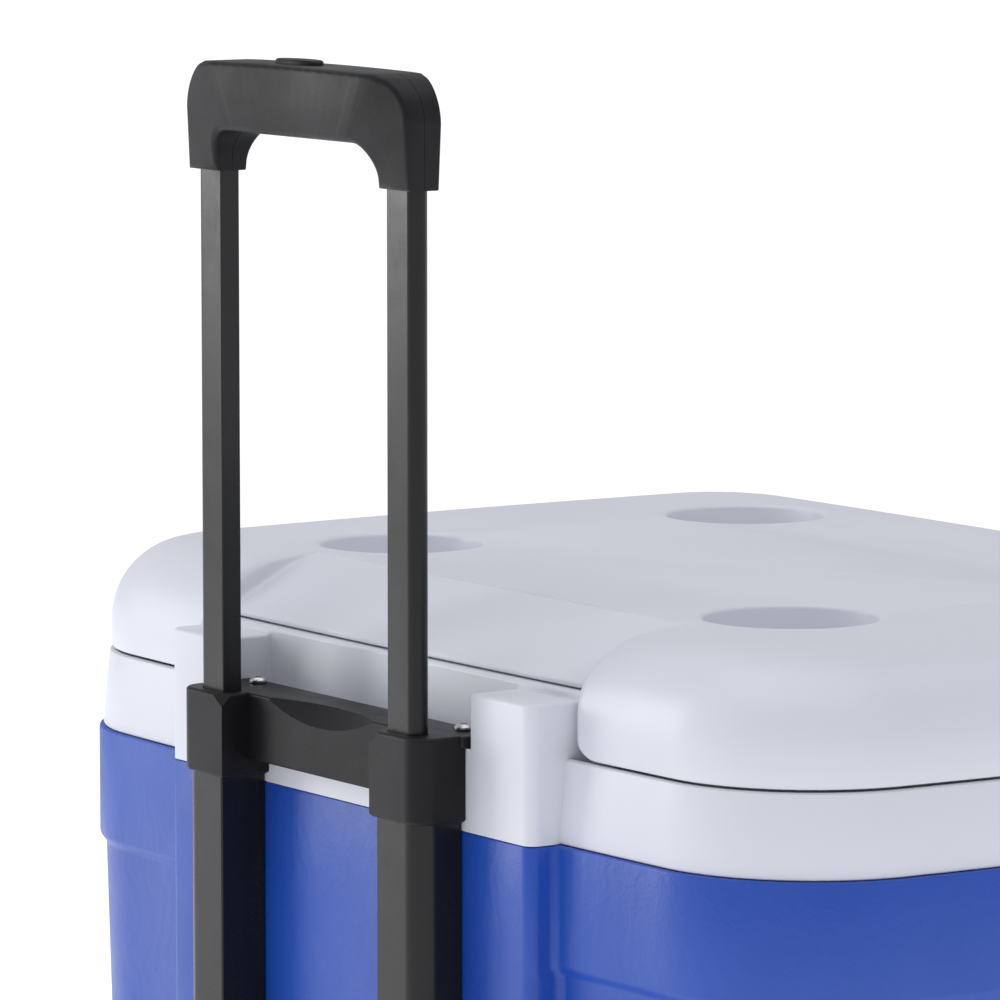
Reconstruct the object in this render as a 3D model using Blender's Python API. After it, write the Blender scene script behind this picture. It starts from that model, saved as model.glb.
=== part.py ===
"""A wheeled cooler with a telescopic pull handle: insulated body, hinged lid, two wheels.

Metres. +Z is up, -Y is the handle side and +X runs to the right along it. The origin is
on the floor under the middle of the box that the whole cooler fills at rest, which is
with the handle pulled out and the lid shut.
"""

import math

import bmesh
import bpy
from mathutils import Matrix, Vector

# Body, lid and collar.
BODY_WIDTH = 0.585
BODY_DEPTH = 0.420
LID_TOP = 0.450
CORNER_RADIUS = 0.077
SIDE_BOW = 0.004
FLOOR_CLEARANCE = 0.020
SHELL_WALL = 0.003
BASE_TAPER = 0.007
BASE_EDGE = 0.012
BAND_HEIGHT = 0.055
BAND_STEP = 0.003
INSULATED_WALL = 0.033
CAVITY_FLOOR = 0.056
LINER_WALL = 0.0025
LINER_DRAFT = 0.008
LINER_FLANGE = 0.0075
COLLAR_BELOW_TOP = 0.0875
SEAM_BELOW_TOP = 0.0523
COLLAR_INSET = 0.002
COLLAR_DRAFT = 0.003
COLLAR_WALL = 0.0025

# The flat stage that the handle is fixed to, and the pocket in the collar behind it.
STAGE_HALF = 0.1437
STAGE_PROUD = 0.0114
POCKET_HALF = 0.099
POCKET_BACK = 0.0400
LIP_WALL = 0.008
TOWER_BELOW_TOP = 0.0285
LIP_BELOW_TOP = 0.0253

LID_INSET = 0.006
LID_WALL = 0.003
LID_EDGE = 0.037
LID_CROWN = 0.0015
LID_CROWN_RUN = 0.055
LID_PLUG_DEPTH = 0.0185
LID_PAN_RISE = 0.003
NOTCH_LIP_FRONT = 0.044
NOTCH_LIP_DROP = 0.0218
NOTCH_SLOPE_START = 0.0927
CUP_RADIUS = 0.0373
CUP_DEPTH = 0.014
CUP_SPACING_X = 0.3006
CUP_NEAR_Y = 0.1435
CUP_FAR_Y = 0.3386
GASKET_INSET = 0.0262
GASKET_WIDTH = 0.006

# Handle. Depths are measured from the plane through both rods.
ROD_SPACING = 0.152
ROD_WIDTH = 0.020
ROD_DEPTH = 0.0095
ROD_WALL = 0.0015
ROD_TO_WALL = 0.0261
HANDLE_TRAVEL = 0.226
GRIP_BELOW = 0.2283
GRIP_HEIGHT = 0.0485
GRIP_HALF = 0.088
GRIP_DEPTH = 0.029
GRIP_LEG_DEPTH = 0.016
GRIP_BAR = 0.0302
GRIP_WALL = 0.0022
GRIP_GUSSET = 0.012
GRIP_CORNER = 0.019
GRIP_EDGE = 0.005
GRIP_LEAN = 0.024
TUBE_WIDTH = 0.0316
TUBE_DEPTH = 0.0225
TUBE_WALL = 0.0018
TUBE_FOOT = 0.056
TUBE_INNER_X = 0.0624
TUBE_CORNER = 0.010
TUBE_ENTRY = 0.0124
ROD_OVERLAP = 0.042
ROD_IN_GRIP = 0.025
GUIDE_HEIGHT = 0.022
GUIDE_SIDE = 0.0072
BRACKET_BELOW_TOP = 0.0468
BRACKET_HEIGHT = 0.0369
BRACKET_INNER_X = 0.0593
BRACKET_OUTER_X = 0.0965
BRACKET_CORNER = 0.0105
BRACKET_FRONT = 0.0097
BAR_FRONT = 0.0033
BAR_LIFT = 0.0074
FLANGE_THICKNESS = 0.005
FLANGE_REACH = 0.030
EAR_SCREW_X = 0.082
EAR_SCREW_BACK = 0.0068
SCREW_HOLE = 0.0022
BUTTON_TRAVEL = 0.004
BUTTON_HALF = 0.018
BUTTON_HALF_DEPTH = 0.0065
BUTTON_OFFSET = -0.009
BUTTON_PROUD = 0.002
PIN_RADIUS = 0.0025
PIN_TRAVEL = 0.002
PIN_LENGTH = 0.007
PIN_RISE = 0.011
PUSH_ROD_RADIUS = 0.0018

# Wheels and axle.
WHEEL_RADIUS = 0.062
WHEEL_WIDTH = 0.036
WHEEL_X = 0.2585
WHEEL_TO_RODS = 0.066
TYRE_THICKNESS = 0.009
AXLE_RADIUS = 0.006
WELL_CLEARANCE = 0.005
BEAM_HALF = 0.018
BEAM_RISE = 0.012
BEAM_WALL = 0.003
WHEEL_HUMP_WALL = 0.013
SPOKE_GAPS = 5
SPOKE_GAP_RADIUS = 0.011
SPOKE_GAP_OUT = 0.030
CAP_RADIUS = 0.014
CAP_HEIGHT = 0.006
WASHER_RADIUS = 0.012
WASHER_THICKNESS = 0.0016

# Lid hinges, lift pockets and drain, all on sides away from the handle.
HINGE_X = 0.165
HINGE_WIDTH = 0.050
HINGE_BARREL = 0.0055
HINGE_PIN = 0.0025
LEAF = 0.003
HINGE_TUCK = 0.0035
LID_LEAF_RISE = 0.017
LIFT_HALF = 0.056
LIFT_HEIGHT = 0.030
LIFT_DEPTH = 0.016
DRAIN_X = -0.150
DRAIN_Z = 0.080
DRAIN_RADIUS = 0.013
DRAIN_BORE = 0.009
DRAIN_FLANGE = 0.006
FOOT_FROM_SIDE = 0.090
FOOT_FROM_BACK = 0.085
FOOT_HALF_X = 0.032
FOOT_HALF_Y = 0.018
LOWER_BRACKET_HEIGHT = 0.036
LOWER_SCREW_X = 0.035
LOWER_SCREW_HOLE = 0.0027

GAP = 0.0003
RUNNING = 0.0004
SLOT_GAP = 0.0003
CORNER_STEPS = 5


def far_bow(x, inset):
    """How far a wall drawn in by inset stands from the body's full depth, at x."""
    run_x = BODY_WIDTH / 2 - SIDE_BOW - CORNER_RADIUS
    t = min(abs(x) / run_x, 1.0)
    return -inset - SIDE_BOW * t * t


# Places worked out from the sizes above.
BAND_TOP = LID_TOP - COLLAR_BELOW_TOP - GAP
BAND_LOW = BAND_TOP - BAND_HEIGHT
COLLAR_LOW = LID_TOP - COLLAR_BELOW_TOP
SEAM_Z = LID_TOP - SEAM_BELOW_TOP
HINGE_PROUD = far_bow(HINGE_X - HINGE_WIDTH / 2, COLLAR_INSET) + GAP + LEAF + 2 * HINGE_BARREL - HINGE_TUCK
FRONT_TO_BACK = GRIP_DEPTH / 2 + ROD_TO_WALL + BODY_DEPTH + HINGE_PROUD
ROD_Y = -FRONT_TO_BACK / 2 + GRIP_DEPTH / 2
ROD_X = ROD_SPACING / 2
BODY_Y = ROD_Y + ROD_TO_WALL + BODY_DEPTH / 2
STAGE_Y = ROD_Y + ROD_TO_WALL - STAGE_PROUD
BRACKET_TOP = LID_TOP - BRACKET_BELOW_TOP
BRACKET_LOW = BRACKET_TOP - BRACKET_HEIGHT
TUBE_TOP = BRACKET_LOW + TUBE_ENTRY
GRIP_LOW = BRACKET_TOP + GRIP_BELOW
GRIP_TOP = GRIP_LOW + GRIP_HEIGHT
ROD_LOW = BRACKET_LOW - ROD_OVERLAP
ROD_TOP = GRIP_LOW + ROD_IN_GRIP
PIN_Z = ROD_LOW + PIN_RISE
WHEEL_Y = ROD_Y + WHEEL_TO_RODS
WELL_RADIUS = WHEEL_RADIUS + WELL_CLEARANCE
WELL_INNER_X = WHEEL_X - WHEEL_WIDTH / 2 - WELL_CLEARANCE
OPENING_INSET = INSULATED_WALL
LID_LOW = SEAM_Z + GAP
PAN_Z = LID_LOW + LID_PAN_RISE
HINGE_Z = SEAM_Z + 0.0015


for old in list(bpy.data.objects):
    bpy.data.objects.remove(old)


# Materials

def finish(name, colour, roughness, metallic=0.0):
    made = bpy.data.materials.new(name)
    made.use_nodes = True
    shader = made.node_tree.nodes["Principled BSDF"]
    shader.inputs["Base Color"].default_value = (*colour, 1.0)
    shader.inputs["Roughness"].default_value = roughness
    shader.inputs["Metallic"].default_value = metallic
    made.diffuse_color = (*colour, 1.0)
    return made


blue_plastic = finish("blue_plastic", (0.015, 0.075, 0.46), 0.42)
white_plastic = finish("white_plastic", (0.80, 0.81, 0.86), 0.40)
liner_plastic = finish("liner_plastic", (0.84, 0.85, 0.86), 0.35)
foam = finish("foam", (0.82, 0.76, 0.52), 0.95)
black_plastic = finish("black_plastic", (0.020, 0.020, 0.022), 0.45)
black_metal = finish("black_metal", (0.018, 0.018, 0.020), 0.28, 0.8)
zinc_steel = finish("zinc_steel", (0.62, 0.62, 0.60), 0.35, 1.0)
tread_rubber = finish("tread_rubber", (0.030, 0.030, 0.032), 0.80)
seal_rubber = finish("seal_rubber", (0.10, 0.10, 0.11), 0.75)


# Building blocks

def add(name, mesh_builder, material, smooth=True):
    """An object of its own from a finished bmesh, its faces turned outwards."""
    bmesh.ops.recalc_face_normals(mesh_builder, faces=mesh_builder.faces)
    mesh = bpy.data.meshes.new(name)
    mesh_builder.to_mesh(mesh)
    mesh_builder.free()
    if smooth:
        mesh.shade_smooth()
        mesh.set_sharp_from_angle(angle=math.radians(35))
    mesh.materials.append(material)
    made = bpy.data.objects.new(name, mesh)
    bpy.context.scene.collection.objects.link(made)
    return made


def helper(name, mesh_builder):
    """A cutter or an added lump: it shapes other objects and isn't a piece."""
    made = add(name, mesh_builder, white_plastic, smooth=False)
    made.hide_render = True
    made.display_type = "WIRE"
    return made


def combine(target, other, operation):
    step = target.modifiers.new(operation.lower() + "_" + other.name, "BOOLEAN")
    step.object = other
    step.operation = operation
    step.solver = "EXACT"


def cut(target, *tools):
    for tool in tools:
        combine(target, tool, "DIFFERENCE")


def join(target, *lumps):
    for lump in lumps:
        combine(target, lump, "UNION")


def loft(rings):
    """A closed body through rings of equally many points, capped at both ends."""
    built = bmesh.new()
    loops = [[built.verts.new(point) for point in ring] for ring in rings]
    count = len(rings[0])
    for lower, upper in zip(loops, loops[1:]):
        for i in range(count):
            j = (i + 1) % count
            built.faces.new((lower[i], lower[j], upper[j], upper[i]))
    built.faces.new(list(reversed(loops[0])))
    built.faces.new(loops[-1])
    return built


def prism(outline, axis, low, high):
    """A flat outline pushed along an axis: (y, z) for "X", (x, z) for "Y", (x, y) for "Z"."""
    def place(point, along):
        a, b = point
        return {"X": (along, a, b), "Y": (a, along, b), "Z": (a, b, along)}[axis]
    return loft([[place(p, low) for p in outline], [place(p, high) for p in outline]])


def box(low, high, edge=0.0, segments=2, upright_only=False):
    built = bmesh.new()
    bmesh.ops.create_cube(built, size=1.0)
    size = [h - l for l, h in zip(low, high)]
    middle = [(l + h) / 2 for l, h in zip(low, high)]
    bmesh.ops.scale(built, vec=size, verts=built.verts)
    bmesh.ops.translate(built, vec=middle, verts=built.verts)
    if edge:
        picked = built.edges
        if upright_only:
            picked = [e for e in built.edges if abs(e.verts[0].co.z - e.verts[1].co.z) > 1e-5]
        bmesh.ops.bevel(built, geom=list(picked), offset=edge, offset_type="OFFSET",
                        segments=segments, profile=0.5, affect="EDGES", clamp_overlap=True)
    return built


def cylinder(centre, axis, radius, length, steps=20, edge=0.0):
    """A round bar about its centre."""
    built = bmesh.new()
    turn = {"X": Matrix.Rotation(math.pi / 2, 4, "Y"), "Y": Matrix.Rotation(-math.pi / 2, 4, "X"),
            "Z": Matrix.Identity(4)}[axis]
    bmesh.ops.create_cone(built, cap_ends=True, segments=steps, radius1=radius, radius2=radius,
                          depth=length, matrix=Matrix.Translation(Vector(centre)) @ turn)
    if edge:
        rims = [e for e in built.edges if any(len(f.verts) > 4 for f in e.link_faces)]
        bmesh.ops.bevel(built, geom=rims, offset=edge, segments=2, profile=0.5, affect="EDGES")
    return built


def arc(centre, radius, start, end, steps):
    """Points on a circle from one angle to another, in degrees."""
    points = []
    for step in range(steps + 1):
        angle = math.radians(start + (end - start) * step / steps)
        points.append((centre[0] + radius * math.cos(angle), centre[1] + radius * math.sin(angle)))
    return points


def outline(inset, stage_inset=None):
    """The body's plan, counter-clockwise, with the handle's stage if stage_inset is given."""
    half_w = BODY_WIDTH / 2 - SIDE_BOW - inset
    half_d = BODY_DEPTH / 2 - SIDE_BOW - inset
    radius = max(CORNER_RADIUS - inset, 0.012)
    run_x = half_w - radius
    run_y = half_d - radius
    bows = [(t, SIDE_BOW * (1 - t * t)) for t in (-0.5, 0.0, 0.5)]
    points = arc((run_x, run_y), radius, 0, 90, CORNER_STEPS)
    points += [(-t * run_x, half_d + bow) for t, bow in bows]
    points += arc((-run_x, run_y), radius, 90, 180, CORNER_STEPS)
    points += [(-half_w - bow, -t * run_y) for t, bow in bows]
    points += arc((-run_x, -run_y), radius, 180, 270, CORNER_STEPS)
    if stage_inset is None:
        points += [(t * run_x, -half_d - bow) for t, bow in bows]
    else:
        half = STAGE_HALF - stage_inset
        face = -BODY_DEPTH / 2 - STAGE_PROUD + stage_inset
        inner = 0.004
        outer = 0.006 - stage_inset / 2
        left = arc((-half - inner, -half_d - inner), inner, 90, 0, 2)
        left += arc((-half + outer, face + outer), outer, 180, 270, 2)
        points += left
        points += [(-x, y) for x, y in reversed(left)]
    points += arc((run_x, -run_y), radius, 270, 360, CORNER_STEPS)
    points += [(half_w + bow, t * run_y) for t, bow in bows]
    return [(x, y + BODY_Y) for x, y in points]


def level(z, inset, stage_inset=None):
    return [(x, y, z) for x, y in outline(inset, stage_inset)]


def side_y(x, inset):
    """Where the far wall stands at x."""
    return BODY_Y + BODY_DEPTH / 2 + far_bow(x, inset)


# Body

def body_levels(extra, bottom, top):
    """The moulded body's outer shape, drawn in by extra all round."""
    base = BASE_TAPER + BAND_STEP + extra
    return [
        level(bottom, base + BASE_EDGE, extra),
        level(bottom + BASE_EDGE * 0.3, base + BASE_EDGE * 0.3, extra),
        level(bottom + BASE_EDGE, base, extra),
        level(BAND_LOW, BAND_STEP + extra, extra),
        level(BAND_LOW + 0.003, BAND_STEP * 0.3 + extra, extra),
        level(BAND_LOW + 0.009, extra, extra),
        level(top, extra, extra),
    ]


def clear_wheels(target, grow, label):
    """Cuts the two wheel wells and the channel between them, grown by one wall each time."""
    for side, tag in ((-1, "left"), (1, "right")):
        arch = arc((WHEEL_Y, WHEEL_RADIUS), WELL_RADIUS + grow, 0, 180, 12)
        arch += [(WHEEL_Y - WELL_RADIUS - grow, -0.02), (WHEEL_Y + WELL_RADIUS + grow, -0.02)]
        near, far = side * (WELL_INNER_X - grow), side * BODY_WIDTH
        cut(target, helper(f"{label}_well_{tag}", prism(arch, "X", min(near, far), max(near, far))))
    reach = WELL_INNER_X + 0.002
    half = BEAM_HALF + 0.0005 + grow
    top = WHEEL_RADIUS + BEAM_RISE + 0.0005 + grow
    cut(target, helper(f"{label}_channel",
                       box((-reach, WHEEL_Y - half, -0.02), (reach, WHEEL_Y + half, top))))


def clear_lift_pockets(target, grow, label):
    """The finger pockets under the band, one on each short side."""
    for side, tag in ((-1, "left"), (1, "right")):
        inner = side * (BODY_WIDTH / 2 - BAND_STEP - LIFT_DEPTH - grow)
        outer = side * BODY_WIDTH
        low = (min(inner, outer), BODY_Y - LIFT_HALF - grow, BAND_LOW - LIFT_HEIGHT - grow)
        high = (max(inner, outer), BODY_Y + LIFT_HALF + grow, BAND_LOW - 0.002 + grow)
        cut(target, helper(f"{label}_lift_{tag}", box(low, high, 0.006)))


def clear_drain(target, label):
    centre = (DRAIN_X, BODY_Y + BODY_DEPTH / 2, DRAIN_Z)
    cut(target, helper(f"{label}_drain", cylinder(centre, "Y", DRAIN_RADIUS + GAP, 0.120)))


def liner_levels(extra, bottom, top):
    base = OPENING_INSET + LINER_DRAFT + extra
    return [
        level(bottom, base + 0.020),
        level(bottom + 0.006, base + 0.006),
        level(bottom + 0.020, base),
        level(top, OPENING_INSET + extra),
    ]


def make_outer_shell():
    shell = add("outer_shell", loft(body_levels(0, FLOOR_CLEARANCE, BAND_TOP)), blue_plastic)
    clear_wheels(shell, 0, "shell")
    clear_lift_pockets(shell, 0, "shell")
    inside = helper("shell_inside", loft(body_levels(
        SHELL_WALL, FLOOR_CLEARANCE + SHELL_WALL, BAND_TOP + 0.01)))
    clear_wheels(inside, SHELL_WALL, "shell_inside")
    clear_lift_pockets(inside, SHELL_WALL, "shell_inside")
    cut(shell, inside)
    clear_drain(shell, "shell")


def make_foam_core():
    skin = SHELL_WALL + GAP
    levels = body_levels(skin, FLOOR_CLEARANCE + skin, COLLAR_LOW - 3 * GAP)
    inner = COLLAR_INSET + COLLAR_DRAFT + COLLAR_WALL + 2 * GAP
    stage = COLLAR_WALL + 2 * GAP
    levels.append(level(COLLAR_LOW - GAP, inner, stage))
    levels.append(level(SEAM_Z - COLLAR_WALL - GAP, inner, stage))
    core = add("foam_core", loft(levels), foam)
    clear_wheels(core, skin, "foam")
    clear_lift_pockets(core, skin, "foam")
    hollow = helper("foam_hollow", loft(liner_levels(-GAP, CAVITY_FLOOR - LINER_WALL - GAP,
                                                     SEAM_Z + 0.01)))
    clear_wheels(hollow, SHELL_WALL + WHEEL_HUMP_WALL, "foam_hollow")
    cut(core, hollow)
    ledge = helper("foam_ledge", loft([
        level(SEAM_Z - COLLAR_WALL - LINER_WALL - 3 * GAP, OPENING_INSET - LINER_FLANGE - GAP),
        level(SEAM_Z + 0.01, OPENING_INSET - LINER_FLANGE - GAP)]))
    cut(core, ledge)
    clear_drain(core, "foam")


def make_inner_liner():
    grow = SHELL_WALL + WHEEL_HUMP_WALL + GAP
    liner = add("inner_liner", loft(liner_levels(0, CAVITY_FLOOR - LINER_WALL, SEAM_Z - GAP)),
                liner_plastic)
    flange = helper("liner_flange", loft([
        level(SEAM_Z - GAP - LINER_WALL, OPENING_INSET - LINER_FLANGE),
        level(SEAM_Z - GAP, OPENING_INSET - LINER_FLANGE)]))
    join(liner, flange)
    clear_wheels(liner, grow, "liner")
    inside = helper("liner_inside", loft(liner_levels(LINER_WALL, CAVITY_FLOOR, SEAM_Z + 0.01)))
    clear_wheels(inside, grow + LINER_WALL, "liner_inside")
    cut(liner, inside)
    clear_drain(liner, "liner")


def make_collar():
    collar = add("collar", loft([
        level(COLLAR_LOW, COLLAR_INSET, 0),
        level(SEAM_Z, COLLAR_INSET + COLLAR_DRAFT, 0)]), white_plastic)
    back = ROD_Y + POCKET_BACK
    tower = box((-STAGE_HALF, STAGE_Y, SEAM_Z - 0.02),
                (STAGE_HALF, back + LIP_WALL, LID_TOP - TOWER_BELOW_TOP), 0.004)
    lip = box((-STAGE_HALF + 0.001, back, SEAM_Z - 0.01),
              (STAGE_HALF - 0.001, back + LIP_WALL - 0.0002, LID_TOP - LIP_BELOW_TOP), 0.002)
    join(collar, helper("tower_block", tower), helper("lip_block", lip))
    pocket = box((-POCKET_HALF, STAGE_Y - 0.02, SEAM_Z - 0.0002),
                 (POCKET_HALF, back, LID_TOP), 0.008, upright_only=True)
    cut(collar, helper("pocket", pocket))
    inner = COLLAR_INSET + COLLAR_DRAFT + COLLAR_WALL
    hollow = loft([level(COLLAR_LOW - 0.01, inner, COLLAR_WALL),
                   level(SEAM_Z - COLLAR_WALL, inner, COLLAR_WALL)])
    cut(collar, helper("collar_hollow", hollow))
    opening = loft([level(COLLAR_LOW - 0.02, OPENING_INSET - LINER_FLANGE - GAP),
                    level(SEAM_Z + 0.02, OPENING_INSET - LINER_FLANGE - GAP)])
    cut(collar, helper("collar_opening", opening))


# Lid

def lid_levels(extra, bottom):
    """The lid's outer shape, drawn in by extra: upright rim, round edge and a low crown."""
    rim = LID_INSET + extra
    radius = LID_EDGE - extra
    edge_z = LID_TOP - LID_CROWN - extra - radius
    levels = [level(bottom, rim)]
    for step in range(4):
        angle = math.radians(30 * step)
        levels.append(level(edge_z + radius * math.sin(angle), rim + radius * (1 - math.cos(angle))))
    flat = rim + radius + LID_CROWN_RUN
    levels.append(level(LID_TOP - LID_CROWN * 0.25 - extra, rim + radius + LID_CROWN_RUN / 2))
    levels.append(level(LID_TOP - extra, flat))
    return levels


def cut_lid(target, grow, label):
    """The handle's notch, the slope down to its lip and the four cup rests."""
    back = ROD_Y + POCKET_BACK + LIP_WALL + 0.0005 + grow
    front = ROD_Y + NOTCH_LIP_FRONT + grow
    half = STAGE_HALF + 0.0007 + grow
    lip_z = LID_TOP - LIP_BELOW_TOP + 0.0005 + grow
    under = box((-half, ROD_Y - 0.05, LID_LOW - 0.03), (half, back, lip_z), 0.003)
    ahead = box((-half, ROD_Y - 0.05, LID_LOW - 0.03), (half, front, LID_TOP + 0.02), 0.002)
    cut(target, helper(f"{label}_notch_under", under), helper(f"{label}_notch_ahead", ahead))
    start = ROD_Y + NOTCH_SLOPE_START
    lip_top = LID_TOP - NOTCH_LIP_DROP - grow
    slope = [(start, LID_TOP - grow), (start + 0.005, LID_TOP + 0.03),
             (front - 0.02, LID_TOP + 0.03), (front - 0.02, lip_top), (front, lip_top)]
    cut(target, helper(f"{label}_near_slope", prism(slope, "X", -STAGE_HALF + 0.004, STAGE_HALF - 0.004)))
    for i, (side, from_rods) in enumerate(((-1, CUP_NEAR_Y), (1, CUP_NEAR_Y), (-1, CUP_FAR_Y), (1, CUP_FAR_Y))):
        low = LID_TOP - CUP_DEPTH - grow
        centre = (side * CUP_SPACING_X / 2, ROD_Y + from_rods, (low + LID_TOP + 0.02) / 2)
        cup = cylinder(centre, "Z", CUP_RADIUS + grow, LID_TOP + 0.02 - low, 28)
        cut(target, helper(f"{label}_cup_{i}", cup))


def make_lid():
    shell = add("lid_shell", loft(lid_levels(0, LID_LOW)), white_plastic)
    cut_lid(shell, 0, "lid")
    inside = helper("lid_inside", loft(lid_levels(LID_WALL, LID_LOW - 0.01)))
    cut_lid(inside, LID_WALL, "lid_inside")
    cut(shell, inside)

    rim = LID_INSET + LID_WALL + GAP
    plug = OPENING_INSET + LINER_WALL + 0.0025
    plate = PAN_Z + LINER_WALL
    notch_back = ROD_Y + POCKET_BACK + LIP_WALL + 0.0005 + LID_WALL + GAP
    notch_half = STAGE_HALF + 0.0007 + LID_WALL + GAP
    notch = (-notch_half, ROD_Y - 0.05, LID_LOW - 0.03), (notch_half, notch_back, LID_TOP)

    pan = add("lid_liner", loft([level(PAN_Z, rim), level(plate, rim)]), liner_plastic)
    join(pan, helper("pan_plug", loft([
        level(LID_LOW - LID_PLUG_DEPTH, plug + 0.004),
        level(LID_LOW - LID_PLUG_DEPTH + 0.003, plug + 0.001),
        level(PAN_Z + 0.001, plug)])))
    cut(pan, helper("pan_hollow", loft([
        level(LID_LOW - LID_PLUG_DEPTH + LINER_WALL, plug + LINER_WALL + 0.003),
        level(plate + 0.01, plug + LINER_WALL)])))
    cut(pan, helper("pan_notch", box(*notch, 0.003)))

    skin = LID_WALL + GAP
    core = add("lid_foam", loft(lid_levels(skin, plate + GAP)), foam)
    cut_lid(core, skin, "lid_foam")
    join(core, helper("foam_plug", loft([
        level(LID_LOW - LID_PLUG_DEPTH + LINER_WALL + GAP, plug + LINER_WALL + 0.0034),
        level(plate + 0.01, plug + LINER_WALL + 0.0004)])))

    seal = add("lid_gasket", loft([level(LID_LOW, GASKET_INSET), level(PAN_Z - GAP, GASKET_INSET)]),
               seal_rubber)
    cut(seal, helper("gasket_hollow", loft([
        level(LID_LOW - 0.01, GASKET_INSET + GASKET_WIDTH),
        level(PAN_Z + 0.01, GASKET_INSET + GASKET_WIDTH)])))


def make_hinge(side, tag):
    """Three knuckles on one pin: two on the collar's leaf and the middle one on the lid's."""
    middle = side * HINGE_X
    half = HINGE_WIDTH / 2
    inner_x = HINGE_X - half
    collar_y = side_y(inner_x, COLLAR_INSET) + GAP
    lid_y = side_y(inner_x, LID_INSET) + GAP
    axis_y = collar_y + LEAF + HINGE_BARREL - HINGE_TUCK
    knuckle = HINGE_WIDTH * 0.3
    body_leaf = add(f"hinge_leaf_{tag}",
                    box((middle - half, collar_y, COLLAR_LOW + 0.004),
                        (middle + half, collar_y + LEAF, HINGE_Z - 0.001), 0.0008), white_plastic)
    for end in (-1, 1):
        centre = (middle + end * (half - knuckle / 2), axis_y, HINGE_Z)
        join(body_leaf, helper(f"leaf_knuckle_{tag}_{end + 1}",
                               cylinder(centre, "X", HINGE_BARREL, knuckle)))
    gap_half = half - knuckle
    cut(body_leaf, helper(f"leaf_gap_{tag}",
                          box((middle - gap_half, axis_y - 0.02, HINGE_Z - HINGE_BARREL - 0.001),
                              (middle + gap_half, axis_y + 0.02, HINGE_Z + 0.02))))
    lid_leaf = add(f"lid_leaf_{tag}",
                   box((middle - half, lid_y, HINGE_Z + HINGE_BARREL + 0.0015),
                       (middle + half, lid_y + LEAF + 0.001, HINGE_Z + LID_LEAF_RISE), 0.0008), white_plastic)
    arm = box((middle - gap_half + 0.0005, lid_y + 0.0005, HINGE_Z + 0.0005),
              (middle + gap_half - 0.0005, axis_y + 0.002, HINGE_Z + HINGE_BARREL + 0.005))
    barrel = cylinder((middle, axis_y, HINGE_Z), "X", HINGE_BARREL, 2 * gap_half - 0.001)
    join(lid_leaf, helper(f"lid_arm_{tag}", arm), helper(f"lid_knuckle_{tag}", barrel))
    bore = helper(f"hinge_bore_{tag}", cylinder((middle, axis_y, HINGE_Z), "X",
                                                 HINGE_PIN + RUNNING, HINGE_WIDTH + 0.02))
    cut(body_leaf, bore)
    cut(lid_leaf, bore)
    add(f"hinge_pin_{tag}", cylinder((middle, axis_y, HINGE_Z), "X", HINGE_PIN,
                                     HINGE_WIDTH + 0.002, 16, 0.0005), zinc_steel)


# Handle

def d_section(inner_x, outer_x, half_depth, side, bulge):
    """A bar's plan: flat towards the middle of the handle, rounded on the outside."""
    corner = min(half_depth * 0.999, bulge)
    centre_x = outer_x - corner
    points = [(inner_x, half_depth), (inner_x, -half_depth)]
    points += arc((centre_x, -half_depth + corner), corner, -90, 0, 4)
    points += arc((centre_x, half_depth - corner), corner, 0, 90, 4)
    return [(side * x, y + ROD_Y) for x, y in points]


def make_rods(side, tag):
    inner_x = ROD_X - ROD_WIDTH / 2
    outer_x = ROD_X + ROD_WIDTH / 2
    half = ROD_DEPTH / 2
    rod = add(f"rod_{tag}", prism(d_section(inner_x, outer_x, half, side, half), "Z",
                                  ROD_LOW, ROD_TOP), black_metal)
    bore = d_section(inner_x + ROD_WALL, outer_x - ROD_WALL, half - ROD_WALL, side, half)
    cut(rod, helper(f"rod_bore_{tag}", prism(bore, "Z", ROD_LOW - 0.01, ROD_TOP + 0.01)))
    pin_hole = helper(f"pin_hole_{tag}", cylinder((side * inner_x, ROD_Y, PIN_Z), "X",
                                                  PIN_RADIUS + GAP, 0.012, 16))
    cut(rod, pin_hole)

    low_y = STAGE_Y - GAP - TUBE_DEPTH
    tube_x = TUBE_INNER_X + TUBE_WALL + RUNNING
    guide = add(f"rod_guide_{tag}",
                box((min(side * tube_x, side * (TUBE_INNER_X + TUBE_WIDTH - GUIDE_SIDE)),
                     low_y + TUBE_WALL + RUNNING, ROD_LOW),
                    (max(side * tube_x, side * (TUBE_INNER_X + TUBE_WIDTH - GUIDE_SIDE)),
                     STAGE_Y - GAP - TUBE_WALL - RUNNING, ROD_LOW + GUIDE_HEIGHT), 0.001), black_plastic)
    sleeve = d_section(inner_x - GAP, outer_x + GAP, half + GAP, side, half + GAP)
    cut(guide, helper(f"guide_sleeve_{tag}", prism(sleeve, "Z", ROD_LOW - 0.01, ROD_LOW + 0.04)))
    cut(guide, pin_hole)

    reach = TUBE_INNER_X + TUBE_WALL + GAP
    pin = cylinder((side * (reach + PIN_LENGTH / 2), ROD_Y, PIN_Z), "X", PIN_RADIUS, PIN_LENGTH, 16, 0.0006)
    add(f"lock_pin_{tag}", pin, zinc_steel)
    push_low = PIN_Z + PIN_RADIUS + 0.0015
    push_top = ROD_TOP + BUTTON_TRAVEL + 0.0015
    add(f"push_rod_{tag}", cylinder((side * ROD_X, ROD_Y, (push_low + push_top) / 2), "Z",
                                    PUSH_ROD_RADIUS, push_top - push_low, 12), zinc_steel)


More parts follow.
